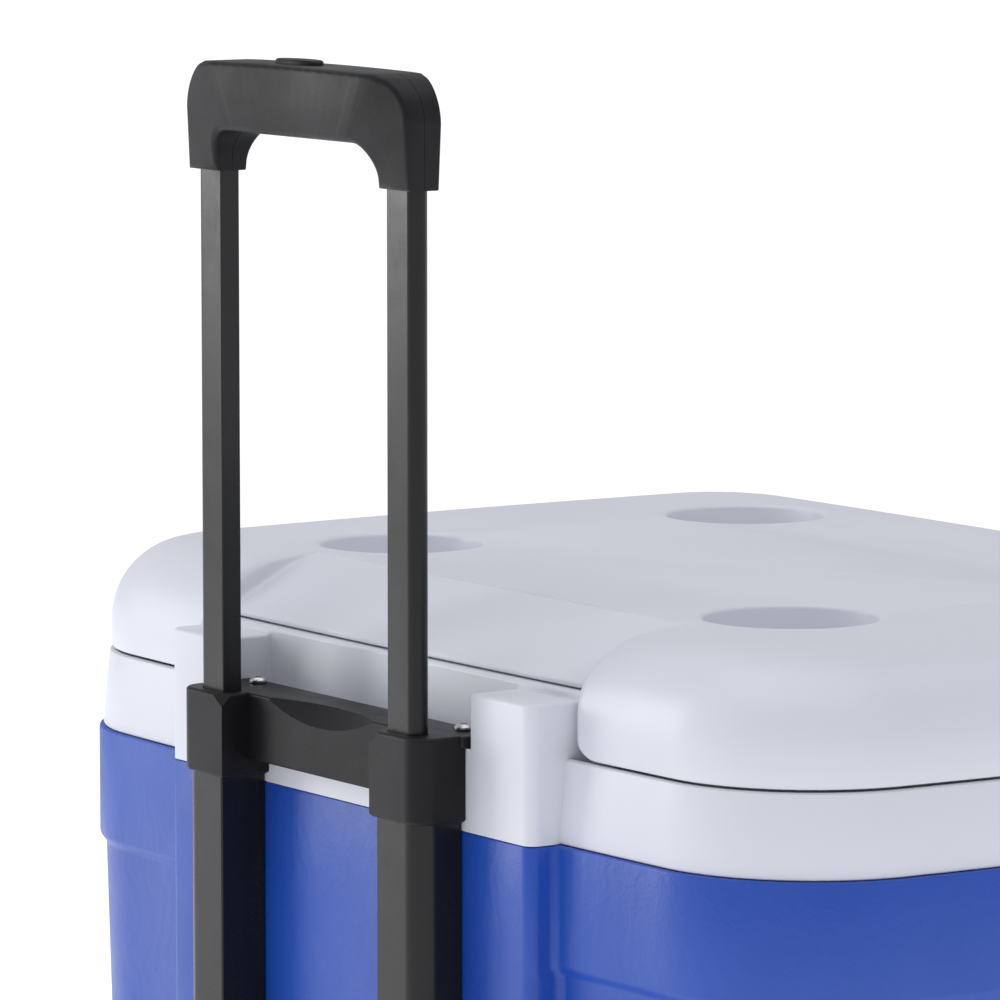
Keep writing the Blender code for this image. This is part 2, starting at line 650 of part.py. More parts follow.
def make_tube(side, tag):
    """The fixed guide that a rod slides into, round at its outer front edge."""
    front = STAGE_Y - GAP - TUBE_DEPTH
    back = STAGE_Y - GAP
    inner = TUBE_INNER_X
    outer = TUBE_INNER_X + TUBE_WIDTH

    def section(wall):
        radius = TUBE_CORNER - wall
        points = [(inner + wall, back - wall), (inner + wall, front + wall)]
        points += arc((outer - wall - radius, front + wall + radius), radius, -90, 0, 5)
        points.append((outer - wall, back - wall))
        return [(side * x, y) for x, y in points]

    tube = add(f"handle_tube_{tag}", prism(section(0), "Z", TUBE_FOOT, TUBE_TOP), black_metal)
    cut(tube, helper(f"tube_bore_{tag}", prism(section(TUBE_WALL), "Z", TUBE_FOOT - 0.01,
                                               TUBE_TOP + 0.01)))
    for i, z in enumerate((PIN_Z, PIN_Z - HANDLE_TRAVEL)):
        hole = cylinder((side * inner, ROD_Y, z), "X", PIN_RADIUS + GAP, 0.010, 16)
        cut(tube, helper(f"tube_hole_{tag}_{i}", hole))


def tube_socket(side, low, high, label):
    """Room for a tube's end, open to the stage behind it."""
    xs = sorted((side * (TUBE_INNER_X - GAP), side * (TUBE_INNER_X + TUBE_WIDTH + GAP)))
    return helper(label, box((xs[0], STAGE_Y - 2 * GAP - TUBE_DEPTH, low),
                             (xs[1], STAGE_Y + 0.01, high)))


def make_upper_bracket():
    back = STAGE_Y - GAP
    bar = add("handle_bracket", box((-BRACKET_INNER_X - 0.004, ROD_Y + BAR_FRONT, BRACKET_LOW + BAR_LIFT),
                                    (BRACKET_INNER_X + 0.004, back, BRACKET_TOP - 0.0001)),
              black_plastic)
    for side, tag in ((-1, "left"), (1, "right")):
        front = ROD_Y - BRACKET_FRONT
        radius = BRACKET_CORNER
        plan = [(BRACKET_INNER_X, back), (BRACKET_INNER_X, front)]
        plan += arc((BRACKET_OUTER_X - radius, front + radius), radius, -90, 0, 5)
        plan.append((BRACKET_OUTER_X, back))
        join(bar, helper(f"bracket_collar_{tag}",
                         prism([(side * x, y) for x, y in plan], "Z", BRACKET_LOW, BRACKET_TOP)))
    reach = POCKET_HALF - 0.001
    flange = box((-reach, back - 0.003, SEAM_Z + GAP), (reach, ROD_Y + FLANGE_REACH,
                                                        SEAM_Z + GAP + FLANGE_THICKNESS), 0.001)
    join(bar, helper("bracket_flange", flange))
    for side, tag in ((-1, "left"), (1, "right")):
        cut(bar, tube_socket(side, BRACKET_LOW - 0.01, TUBE_TOP + GAP, f"upper_socket_{tag}"))
        slot = d_section(ROD_X - ROD_WIDTH / 2 - SLOT_GAP, ROD_X + ROD_WIDTH / 2 + SLOT_GAP,
                         ROD_DEPTH / 2 + SLOT_GAP, side, ROD_DEPTH / 2 + SLOT_GAP)
        cut(bar, helper(f"rod_slot_{tag}", prism(slot, "Z", BRACKET_LOW, BRACKET_TOP + 0.01)))
        hole_at = (side * EAR_SCREW_X, ROD_Y + FLANGE_REACH - EAR_SCREW_BACK, SEAM_Z)
        cut(bar, helper(f"ear_hole_{tag}", cylinder(hole_at, "Z", SCREW_HOLE, 0.030, 16)))
        cut(bpy.data.objects["collar"], helper(f"collar_screw_hole_{tag}",
                                               cylinder(hole_at, "Z", SCREW_HOLE, 0.030, 16)))
        cut(bpy.data.objects["foam_core"], helper(f"foam_screw_hole_{tag}",
                                                  cylinder(hole_at, "Z", SCREW_HOLE + 0.0004, 0.036, 12)))
        head_z = SEAM_Z + GAP + FLANGE_THICKNESS + GAP
        screw = loft_turned([(0.0, head_z - 0.017), (0.0018, head_z - 0.016), (0.0018, head_z),
                             (0.0040, head_z), (0.0036, head_z + 0.0016), (0.0018, head_z + 0.0025),
                             (0.0, head_z + 0.0026)], (hole_at[0], hole_at[1]), 16)
        add(f"bracket_screw_{tag}", screw, zinc_steel)


def loft_turned(profile, centre, steps):
    """Turns (radius, height) points, bottom to top, about an upright axis."""
    built = bmesh.new()
    points = [built.verts.new((centre[0] + r, centre[1], z)) for r, z in profile]
    edges = [built.edges.new(pair) for pair in zip(points, points[1:])]
    bmesh.ops.spin(built, geom=points + edges, cent=(centre[0], centre[1], 0), axis=(0, 0, 1),
                   angle=2 * math.pi, steps=steps, use_merge=True)
    bmesh.ops.remove_doubles(built, verts=built.verts, dist=1e-6)
    return built


def make_lower_bracket():
    low = TUBE_FOOT - 0.010
    back = STAGE_Y - GAP
    front = STAGE_Y - GAP - TUBE_DEPTH - 0.003
    half = TUBE_INNER_X + TUBE_WIDTH + 0.003
    bracket = add("lower_bracket", box((-half, front, low), (half, back, low + LOWER_BRACKET_HEIGHT), 0.003),
                  black_plastic)
    mid = TUBE_INNER_X - 0.004
    relief = box((-mid, front - 0.01, low - 0.01), (mid, back - 0.009, low + 0.05), 0.003)
    cut(bracket, helper("lower_relief", relief))
    for side, tag in ((-1, "left"), (1, "right")):
        cut(bracket, tube_socket(side, TUBE_FOOT - GAP, low + 0.05, f"lower_socket_{tag}"))
        at = (side * LOWER_SCREW_X, back - 0.009, low + LOWER_BRACKET_HEIGHT / 2)
        cut(bracket, helper(f"lower_hole_{tag}", cylinder(at, "Y", LOWER_SCREW_HOLE, 0.040, 16)))
        cut(bpy.data.objects["outer_shell"], helper(f"shell_screw_hole_{tag}",
                                                    cylinder(at, "Y", LOWER_SCREW_HOLE, 0.050, 16)))
        cut(bpy.data.objects["foam_core"], helper(f"foam_lower_hole_{tag}",
                                                  cylinder(at, "Y", 0.0030, 0.060, 12)))
        screw = cylinder((at[0], at[1] + 0.008, at[2]), "Y", 0.0024, 0.017, 16)
        made = add(f"lower_screw_{tag}", screw, zinc_steel)
        head = cylinder((at[0], at[1] - 0.0018, at[2]), "Y", 0.0050, 0.0030, 20, 0.0008)
        join(made, helper(f"lower_head_{tag}", head))


def grip_outline(shrink):
    """Half of the grip's face, from the middle of its underside round to the middle of its top."""
    leg_in = ROD_X - ROD_WIDTH / 2 - 0.002 + shrink
    under = GRIP_TOP - GRIP_BAR + shrink
    outer = GRIP_HALF - shrink
    foot = GRIP_LOW + shrink
    gusset = GRIP_GUSSET
    points = [(0.0, under)]
    points += arc((leg_in - gusset, under - gusset), gusset, 90, 0, 4)
    points += [(leg_in, foot), (outer, foot)]
    corner = GRIP_CORNER - shrink
    points += arc((outer - corner, GRIP_TOP - 0.0015 - shrink - corner), corner, 0, 90, 5)
    points.append((0.0, GRIP_TOP - shrink))
    return points


def grip_ring(shrink):
    half = grip_outline(shrink)
    return half + [(-x, z) for x, z in reversed(half[1:-1])]


def make_grip():
    half = GRIP_DEPTH / 2
    button_low = GRIP_TOP - 0.012
    link_low = ROD_TOP + BUTTON_TRAVEL + 0.0018
    for sign, tag in ((-1, "front"), (1, "rear")):
        ys = sorted((ROD_Y + sign * GAP / 2, ROD_Y + sign * half))
        body = prism(grip_ring(0), "Y", ys[0], ys[1])
        face = ROD_Y + sign * half
        rim = [e for e in body.edges if all(abs(v.co.y - face) < 1e-6 for v in e.verts)]
        bmesh.ops.bevel(body, geom=rim, offset=GRIP_EDGE, segments=2, profile=0.5, affect="EDGES",
                        clamp_overlap=True)
        shell = add(f"grip_{tag}", body, black_plastic)
        lean = [(ROD_Y + sign * GRIP_LEG_DEPTH / 2, GRIP_LOW - 0.001),
                (ROD_Y + sign * half, GRIP_LOW + GRIP_LEAN),
                (ROD_Y + sign * 0.03, GRIP_LOW + GRIP_LEAN), (ROD_Y + sign * 0.03, GRIP_LOW - 0.001)]
        cut(shell, helper(f"grip_lean_{tag}", prism(lean, "X", -0.12, 0.12)))
        ys = sorted((ROD_Y - sign * 0.005, ROD_Y + sign * (half - GRIP_WALL)))
        hollow = helper(f"grip_hollow_{tag}", prism(grip_ring(GRIP_WALL), "Y", ys[0], ys[1]))
        inner = GRIP_LEG_DEPTH / 2 - GRIP_WALL
        lean = [(ROD_Y + sign * inner, GRIP_LOW - 0.001),
                (ROD_Y + sign * (half - GRIP_WALL), GRIP_LOW + GRIP_LEAN + 0.002),
                (ROD_Y + sign * 0.03, GRIP_LOW + GRIP_LEAN + 0.002), (ROD_Y + sign * 0.03, GRIP_LOW - 0.001)]
        cut(hollow, helper(f"hollow_lean_{tag}", prism(lean, "X", -0.12, 0.12)))
        cut(shell, hollow)
        for side, end in ((-1, "left"), (1, "right")):
            slot = d_section(ROD_X - ROD_WIDTH / 2 - SLOT_GAP, ROD_X + ROD_WIDTH / 2 + SLOT_GAP,
                             ROD_DEPTH / 2 + SLOT_GAP, side, ROD_DEPTH / 2 + SLOT_GAP)
            cut(shell, helper(f"grip_slot_{tag}_{end}",
                              prism(slot, "Z", GRIP_LOW - 0.01, ROD_TOP + 0.001)))
        cut(shell, helper(f"button_hole_{tag}", oval(BUTTON_HALF + GAP, BUTTON_HALF_DEPTH + GAP,
                                                     GRIP_TOP - 0.02, GRIP_TOP + 0.01)))
    add("release_button", oval(BUTTON_HALF, BUTTON_HALF_DEPTH, button_low,
                               GRIP_TOP + BUTTON_PROUD, 0.0012), black_plastic)
    add("release_link", box((-ROD_X - 0.004, ROD_Y - 0.004, link_low),
                            (ROD_X + 0.004, ROD_Y + 0.004, button_low - GAP), 0.0006), black_plastic)
    make_spring(GRIP_TOP - GRIP_BAR + GRIP_WALL + 0.001, link_low - 0.001)


def oval(half_x, half_y, low, high, edge=0.0):
    points = [(BUTTON_OFFSET + half_x * math.cos(t), ROD_Y + half_y * math.sin(t))
              for t in (2 * math.pi * i / 28 for i in range(28))]
    built = prism(points, "Z", low, high)
    if edge:
        rim = [e for e in built.edges if all(v.co.z > high - 1e-6 for v in e.verts)]
        bmesh.ops.bevel(built, geom=rim, offset=edge, segments=2, profile=0.5, affect="EDGES")
    return built


def make_spring(low, high):
    """The button's return spring, a round wire wound upright."""
    turns = 3
    wire = 0.0005
    curve = bpy.data.curves.new("button_spring", "CURVE")
    curve.dimensions = "3D"
    curve.bevel_depth = wire
    curve.bevel_resolution = 1
    curve.use_fill_caps = True
    steps = turns * 12
    line = curve.splines.new("POLY")
    line.points.add(steps)
    for i, point in enumerate(line.points):
        angle = 2 * math.pi * i / 12
        height = low + wire + (high - low - 2 * wire) * i / steps
        point.co = (0.0035 * math.cos(angle), ROD_Y + 0.0035 * math.sin(angle), height, 1.0)
    made = bpy.data.objects.new("button_spring", curve)
    curve.materials.append(zinc_steel)
    bpy.context.scene.collection.objects.link(made)


# Wheels

def make_wheel(side, tag):
    rim = WHEEL_RADIUS - TYRE_THICKNESS
    centre = (side * WHEEL_X, WHEEL_Y, WHEEL_RADIUS)
    wheel = add(f"wheel_{tag}", cylinder(centre, "X", rim, WHEEL_WIDTH - 0.004, 32, 0.001),
                black_plastic)
    face_x = side * (WHEEL_X + WHEEL_WIDTH / 2)
    for i in range(SPOKE_GAPS):
        pocket = cylinder((face_x, WHEEL_Y, WHEEL_RADIUS + SPOKE_GAP_OUT), "X", SPOKE_GAP_RADIUS, 0.030, 12)
        bmesh.ops.rotate(pocket, verts=pocket.verts, cent=(0, WHEEL_Y, WHEEL_RADIUS),
                         matrix=Matrix.Rotation(2 * math.pi * i / SPOKE_GAPS, 3, "X"))
        cut(wheel, helper(f"spoke_gap_{tag}_{i}", pocket))
    bore = cylinder(centre, "X", AXLE_RADIUS + RUNNING, 0.08, 24)
    cut(wheel, helper(f"wheel_bore_{tag}", bore))
    tyre = add(f"tyre_{tag}", cylinder(centre, "X", WHEEL_RADIUS, WHEEL_WIDTH, 40, 0.003),
               tread_rubber)
    cut(tyre, helper(f"tyre_bore_{tag}", cylinder(centre, "X", rim + 2 * GAP, 0.08, 32)))
    washer_x = side * (WHEEL_X - WHEEL_WIDTH / 2 - WASHER_THICKNESS / 2)
    washer = add(f"wheel_washer_{tag}", cylinder((washer_x, WHEEL_Y, WHEEL_RADIUS), "X",
                                                 WASHER_RADIUS, WASHER_THICKNESS), zinc_steel)
    cut(washer, helper(f"washer_bore_{tag}", cylinder(centre, "X", AXLE_RADIUS + GAP, 0.08)))
    cap_x = side * (WHEEL_X + WHEEL_WIDTH / 2 + CAP_HEIGHT / 4)
    cap = add(f"wheel_cap_{tag}", cylinder((cap_x, WHEEL_Y, WHEEL_RADIUS), "X",
                                           CAP_RADIUS, CAP_HEIGHT, edge=0.0015), black_plastic)
    axle_end = side * (WHEEL_X + WHEEL_WIDTH / 2 + 0.0005)
    cut(cap, helper(f"cap_bore_{tag}", cylinder((axle_end - side * 0.02, WHEEL_Y, WHEEL_RADIUS),
                                                "X", AXLE_RADIUS + GAP, 0.04 + 2 * GAP)))


def make_running_gear():
    for side, tag in ((-1, "left"), (1, "right")):
        make_wheel(side, tag)
    end = WHEEL_X + WHEEL_WIDTH / 2
    add("axle", cylinder((0, WHEEL_Y, WHEEL_RADIUS), "X", AXLE_RADIUS, 2 * end, edge=0.0008),
        zinc_steel)
    reach = WELL_INNER_X - GAP
    beam = add("axle_beam", box((-reach, WHEEL_Y - BEAM_HALF, FLOOR_CLEARANCE),
                                (reach, WHEEL_Y + BEAM_HALF, WHEEL_RADIUS + BEAM_RISE), 0.002),
               black_plastic)
    cut(beam, helper("beam_bore", cylinder((0, WHEEL_Y, WHEEL_RADIUS), "X",
                                           AXLE_RADIUS + GAP, 2 * reach + 0.02)))
    for i in range(4):
        x = (i - 1.5) * (2 * reach - 0.012) / 4
        half = (2 * reach - 0.012) / 8 - 0.003
        pocket = box((x - half, WHEEL_Y - BEAM_HALF + BEAM_WALL, FLOOR_CLEARANCE - 0.01),
                     (x + half, WHEEL_Y + BEAM_HALF - BEAM_WALL, WHEEL_RADIUS - AXLE_RADIUS - 0.004))
        cut(beam, helper(f"beam_pocket_{i}", pocket))


def make_feet():
    """Two rubber feet under the side away from the wheels."""
    y = BODY_Y + BODY_DEPTH / 2 - FOOT_FROM_BACK
    for side, tag in ((-1, "left"), (1, "right")):
        x = side * (BODY_WIDTH / 2 - FOOT_FROM_SIDE)
        add(f"foot_{tag}", box((x - FOOT_HALF_X, y - FOOT_HALF_Y, 0.0), (x + FOOT_HALF_X, y + FOOT_HALF_Y,
                                                             FLOOR_CLEARANCE - GAP), 0.004),
            tread_rubber)


# Drain

def make_drain():
    wall_y = side_y(abs(DRAIN_X) - DRAIN_RADIUS - 0.007, BAND_STEP + BASE_TAPER * 0.8)
    inner_y = side_y(DRAIN_X, OPENING_INSET + LINER_DRAFT) - 0.004
    outer_y = wall_y + 0.002 + GAP + 0.003
    at = (DRAIN_X, (inner_y + outer_y) / 2, DRAIN_Z)
    spout = add("drain_spout", cylinder(at, "Y", DRAIN_RADIUS, outer_y - inner_y), black_plastic)
    flange_y = wall_y + 0.002 + GAP
    join(spout, helper("drain_flange", cylinder((DRAIN_X, flange_y + 0.0015, DRAIN_Z), "Y",
                                                DRAIN_RADIUS + DRAIN_FLANGE, 0.003, edge=0.0005)))
    cut(spout, helper("drain_bore", cylinder(at, "Y", DRAIN_BORE, 0.12)))
    washer = add("drain_washer", cylinder((DRAIN_X, wall_y + 0.001, DRAIN_Z), "Y",
                                          DRAIN_RADIUS + 0.005, 0.002 - GAP), seal_rubber)
    cut(washer, helper("drain_washer_bore", cylinder(at, "Y", DRAIN_RADIUS + GAP, 0.12)))
    plug_y = outer_y + GAP
    plug = add("drain_plug", cylinder((DRAIN_X, plug_y + 0.0012, DRAIN_Z), "Y",
                                      DRAIN_RADIUS + 0.002, 0.0024, edge=0.0006), black_plastic)
    join(plug, helper("plug_stem", cylinder((DRAIN_X, plug_y - 0.009, DRAIN_Z), "Y",
                                            DRAIN_BORE - RUNNING, 0.020)))


make_outer_shell()
make_foam_core()
make_inner_liner()
make_collar()
make_lid()
for hinge_side, hinge_tag in ((-1, "left"), (1, "right")):
    make_hinge(hinge_side, hinge_tag)
    make_rods(hinge_side, hinge_tag)
    make_tube(hinge_side, hinge_tag)
make_upper_bracket()
make_lower_bracket()
make_grip()
make_running_gear()
make_feet()
make_drain()
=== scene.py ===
import math

import bmesh
import bpy
import numpy as np
from mathutils import Matrix, Vector


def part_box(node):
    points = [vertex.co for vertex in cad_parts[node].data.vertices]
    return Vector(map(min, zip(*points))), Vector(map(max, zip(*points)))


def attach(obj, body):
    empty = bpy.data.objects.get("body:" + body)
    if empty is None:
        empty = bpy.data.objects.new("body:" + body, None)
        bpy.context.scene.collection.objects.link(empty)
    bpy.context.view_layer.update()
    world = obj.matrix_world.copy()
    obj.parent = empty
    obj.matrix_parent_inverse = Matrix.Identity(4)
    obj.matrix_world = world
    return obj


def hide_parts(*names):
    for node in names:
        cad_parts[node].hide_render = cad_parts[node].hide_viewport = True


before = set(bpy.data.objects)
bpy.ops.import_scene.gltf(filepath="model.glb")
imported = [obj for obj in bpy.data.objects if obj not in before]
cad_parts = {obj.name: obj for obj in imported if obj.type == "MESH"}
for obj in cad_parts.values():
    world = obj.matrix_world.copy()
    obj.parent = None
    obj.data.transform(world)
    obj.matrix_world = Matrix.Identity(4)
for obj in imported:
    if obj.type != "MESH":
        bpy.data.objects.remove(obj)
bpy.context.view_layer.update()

# places taken from the frame
shellLow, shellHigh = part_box("outer_shell")
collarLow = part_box("collar")[0]
lidLow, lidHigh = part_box("lid_shell")
rodLow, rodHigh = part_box("rod_left")
bracketLow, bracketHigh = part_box("handle_bracket")
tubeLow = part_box("handle_tube_right")[0]
gripLow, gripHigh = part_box("grip_rear")
tyreLow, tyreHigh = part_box("tyre_right")

rodLine = (rodLow.y + rodHigh.y) / 2
rodX = -(rodLow.x + rodHigh.x) / 2
lidTop = lidHigh.z
stageFace = shellLow.y
stageProud = 0.0114
bodySize = {"width": shellHigh.x - shellLow.x, "depth": shellHigh.y - shellLow.y - stageProud}
bodyMiddle = shellHigh.y - bodySize["depth"] / 2
seam = lidLow.z - 0.0003
wheelLine = Vector((0, (tyreLow.y + tyreHigh.y) / 2, (tyreLow.z + tyreHigh.z) / 2))


# shared tools

def newPiece(name, built, material, sharp=32):
    mesh = bpy.data.meshes.new(name)
    built.to_mesh(mesh)
    built.free()
    mesh.materials.append(material)
    mesh.shade_smooth()
    mesh.set_sharp_from_angle(angle=math.radians(sharp))
    piece = bpy.data.objects.new(name, mesh)
    bpy.context.scene.collection.objects.link(piece)
    return piece


def settle(piece, body, finishSlot, *nodes):
    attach(piece, body)
    if nodes:
        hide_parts(*nodes)
    return piece


def carve(piece, *tools, operation="DIFFERENCE"):
    for tool in tools:
        step = piece.modifiers.new(tool.name, "BOOLEAN")
        step.object = tool
        step.operation = operation
        step.solver = "EXACT"
    graph = bpy.context.evaluated_depsgraph_get()
    shaped = bpy.data.meshes.new_from_object(piece.evaluated_get(graph))
    piece.modifiers.clear()
    piece.data = shaped
    for tool in tools:
        bpy.data.objects.remove(tool)
    shaped.set_sharp_from_angle(angle=math.radians(32))
    return piece


def soften(piece, width, segments=3, angle=32, weighted=True):
    step = piece.modifiers.new("softEdges", "BEVEL")
    step.width = width
    step.segments = segments
    step.limit_method = "ANGLE"
    step.angle_limit = math.radians(angle)
    step.harden_normals = not weighted
    step.miter_outer = "MITER_ARC"
    if weighted:
        even = piece.modifiers.new("evenShade", "WEIGHTED_NORMAL")
        even.keep_sharp = False
        even.weight = 80
    return piece


def tool(built, name="tool"):
    bmesh.ops.recalc_face_normals(built, faces=built.faces[:])
    mesh = bpy.data.meshes.new(name)
    built.to_mesh(mesh)
    built.free()
    made = bpy.data.objects.new(name, mesh)
    bpy.context.scene.collection.objects.link(made)
    return made


def block(low, high, edge=0.0, segments=3):
    built = bmesh.new()
    bmesh.ops.create_cube(built, size=1.0)
    bmesh.ops.scale(built, vec=Vector(high) - Vector(low), verts=built.verts)
    bmesh.ops.translate(built, vec=(Vector(high) + Vector(low)) / 2, verts=built.verts)
    if edge:
        roundEdges(built, built.edges[:], edge, segments)
    return built


def roundEdges(built, edges, offset, segments=4):
    return bmesh.ops.bevel(built, geom=edges, offset=offset, offset_type="OFFSET",
                           segments=segments, profile=0.5, affect="EDGES", material=-1,
                           clamp_overlap=True)


def roundCorners(built, verts, offset, segments=8):
    return bmesh.ops.bevel(built, geom=verts, offset=offset, offset_type="OFFSET",
                           segments=segments, profile=0.5, affect="VERTICES", material=-1)


def drum(centre, axis, radius, length, steps=48, edge=0.0, segments=3):
    turns = {"X": Matrix.Rotation(math.pi / 2, 4, "Y"), "Y": Matrix.Rotation(-math.pi / 2, 4, "X"),
             "Z": Matrix.Identity(4)}
    built = bmesh.new()
    bmesh.ops.create_cone(built, cap_ends=True, segments=steps, radius1=radius, radius2=radius,
                          depth=length, matrix=Matrix.Translation(Vector(centre)) @ turns[axis])
    if edge:
        rims = [e for e in built.edges if any(len(f.verts) > 4 for f in e.link_faces)]
        roundEdges(built, rims, edge, segments)
    return built


def turned(profile, centre, axis, steps=48):
    built = bmesh.new()
    verts = [built.verts.new((r, 0, z)) for r, z in profile]
    edges = [built.edges.new(pair) for pair in zip(verts, verts[1:])]
    bmesh.ops.spin(built, geom=verts + edges, cent=(0, 0, 0), axis=(0, 0, 1),
                   angle=2 * math.pi, steps=steps, use_merge=True, use_duplicate=False)
    bmesh.ops.remove_doubles(built, verts=built.verts, dist=1e-6)
    turns = {"X": Matrix.Rotation(math.pi / 2, 4, "Y"), "Y": Matrix.Rotation(-math.pi / 2, 4, "X"),
             "Z": Matrix.Identity(4), "-X": Matrix.Rotation(-math.pi / 2, 4, "Y"),
             "-Y": Matrix.Rotation(math.pi / 2, 4, "X")}
    bmesh.ops.transform(built, matrix=Matrix.Translation(Vector(centre)) @ turns[axis],
                        verts=built.verts)
    bmesh.ops.recalc_face_normals(built, faces=built.faces[:])
    return built


def flatPlan(points, corners=()):
    built = bmesh.new()
    verts = [built.verts.new((x, y, 0)) for x, y in points]
    built.faces.new(verts)
    for picked, radius, segments in corners:
        roundCorners(built, [verts[i] for i in picked], radius, segments)
    return built


def pushUp(built, low, high):
    bmesh.ops.translate(built, vec=(0, 0, low), verts=built.verts)
    grown = bmesh.ops.extrude_face_region(built, geom=built.faces[:])["geom"]
    moved = [g for g in grown if isinstance(g, bmesh.types.BMVert)]
    bmesh.ops.translate(built, vec=(0, 0, high - low), verts=moved)
    bmesh.ops.recalc_face_normals(built, faces=built.faces[:])
    return built


# finishes

def startFinish(name, metallic=0.0):
    made = bpy.data.materials.new(name)
    made.use_nodes = True
    nodes = made.node_tree.nodes
    shader = nodes["Principled BSDF"]
    shader.inputs["Metallic"].default_value = metallic
    spot = nodes.new("ShaderNodeTexCoord").outputs["Object"]
    return made, nodes, made.node_tree.links, shader, spot


def noiseOn(nodes, links, spot, scale, detail=3.0, rough=0.5, stretch=None):
    if stretch:
        turn = nodes.new("ShaderNodeMapping")
        turn.inputs["Scale"].default_value = stretch
        links.new(spot, turn.inputs["Vector"])
        spot = turn.outputs["Vector"]
    made = nodes.new("ShaderNodeTexNoise")
    made.inputs["Scale"].default_value = scale
    made.inputs["Detail"].default_value = detail
    made.inputs["Roughness"].default_value = rough
    links.new(spot, made.inputs["Vector"])
    return made.outputs["Fac"]


def spread(nodes, links, source, low, high, fromLow=0.3, fromHigh=0.7):
    made = nodes.new("ShaderNodeMapRange")
    made.inputs["From Min"].default_value = fromLow
    made.inputs["From Max"].default_value = fromHigh
    made.inputs["To Min"].default_value = low
    made.inputs["To Max"].default_value = high
    links.new(source, made.inputs["Value"])
    return made.outputs["Result"]


def tintBetween(nodes, links, source, dark, pale, low=0.3, high=0.7):
    ramp = nodes.new("ShaderNodeValToRGB")
    ramp.color_ramp.elements[0].position = low
    ramp.color_ramp.elements[0].color = (*dark, 1)
    ramp.color_ramp.elements[1].position = high
    ramp.color_ramp.elements[1].color = (*pale, 1)
    links.new(source, ramp.inputs["Fac"])
    return ramp.outputs["Color"]


def mixTint(nodes, links, share, first, second, how="MIX"):
    made = nodes.new("ShaderNodeMix")
    made.data_type = "RGBA"
    made.blend_type = how
    links.new(share, made.inputs[0])
    for socket, value in ((made.inputs[6], first), (made.inputs[7], second)):
        if isinstance(value, tuple):
            socket.default_value = (*value, 1)
        else:
            links.new(value, socket)
    return made.outputs[2]


def bumpFrom(nodes, links, layers):
    before = None
    for height, strength, distance in layers:
        made = nodes.new("ShaderNodeBump")
        made.inputs["Strength"].default_value = strength
        made.inputs["Distance"].default_value = distance
        links.new(height, made.inputs["Height"])
        if before:
            links.new(before, made.inputs["Normal"])
        before = made.outputs["Normal"]
    return before


def moulded(name, look):
    made, nodes, links, shader, spot = startFinish(name, look.get("metallic", 0.0))
    patches = noiseOn(nodes, links, spot, look.get("patchScale", 7), 3)
    colour = tintBetween(nodes, links, patches, look["dark"], look["pale"])
    edge = nodes.new("ShaderNodeNewGeometry").outputs["Pointiness"]
    worn = spread(nodes, links, edge, 0.0, look.get("wear", 0.4), 0.52, 0.60)
    colour = mixTint(nodes, links, worn, colour, look.get("wornTint", look["pale"]))
    fleck = noiseOn(nodes, links, spot, look.get("fleckScale", 240), 2, 0.7)
    dust = spread(nodes, links, fleck, 0.0, look.get("dust", 0.10), 0.55, 0.75)
    colour = mixTint(nodes, links, dust, colour, look.get("dustTint", look["dark"]))
    links.new(colour, shader.inputs["Base Color"])
    smears = noiseOn(nodes, links, spot, look.get("smearScale", 18), 4, 0.6,
                     look.get("smearStretch"))
    low, high = look["rough"]
    links.new(spread(nodes, links, smears, low, high), shader.inputs["Roughness"])
    grain = noiseOn(nodes, links, spot, look.get("grainScale", 1100), 2, 0.5)
    swell = noiseOn(nodes, links, spot, look.get("swellScale", 14), 2, 0.4)
    layers = [(swell, look.get("swell", 0.25), 0.0006),
              (grain, look.get("grain", 0.25), 0.00025)]
    if look.get("flow"):
        flowing = nodes.new("ShaderNodeTexWave")
        flowing.inputs["Scale"].default_value = look["flow"]
        flowing.inputs["Distortion"].default_value = 14
        flowing.inputs["Detail"].default_value = 3
        flowing.inputs["Detail Scale"].default_value = 1.6
        links.new(spot, flowing.inputs["Vector"])
        layers.insert(1, (flowing.outputs["Fac"], look.get("flowDepth", 0.06), 0.0005))
    links.new(bumpFrom(nodes, links, layers), shader.inputs["Normal"])
    shader.inputs["Specular IOR Level"].default_value = look.get("specular", 0.5)
    return made


def metal(name, look):
    made, nodes, links, shader, spot = startFinish(name, look.get("metallic", 1.0))
    streaks = noiseOn(nodes, links, spot, look["streakScale"], 3, 0.6, look["streak"])
    colour = tintBetween(nodes, links, streaks, look["dark"], look["pale"])
    edge = nodes.new("ShaderNodeNewGeometry").outputs["Pointiness"]
    worn = spread(nodes, links, edge, 0.0, look.get("wear", 0.5), 0.52, 0.62)
    colour = mixTint(nodes, links, worn, colour, look.get("wornTint", look["pale"]))
    links.new(colour, shader.inputs["Base Color"])
    marks = noiseOn(nodes, links, spot, look.get("markScale", 60), 5, 0.65)
    low, high = look["rough"]
    links.new(spread(nodes, links, marks, low, high), shader.inputs["Roughness"])
    fine = noiseOn(nodes, links, spot, look["streakScale"] * 2.5, 2, 0.5, look["streak"])
    links.new(bumpFrom(nodes, links, [(fine, look.get("grain", 0.15), 0.0001)]),
              shader.inputs["Normal"])
    shader.inputs["Specular IOR Level"].default_value = look.get("specular", 0.5)
    return made


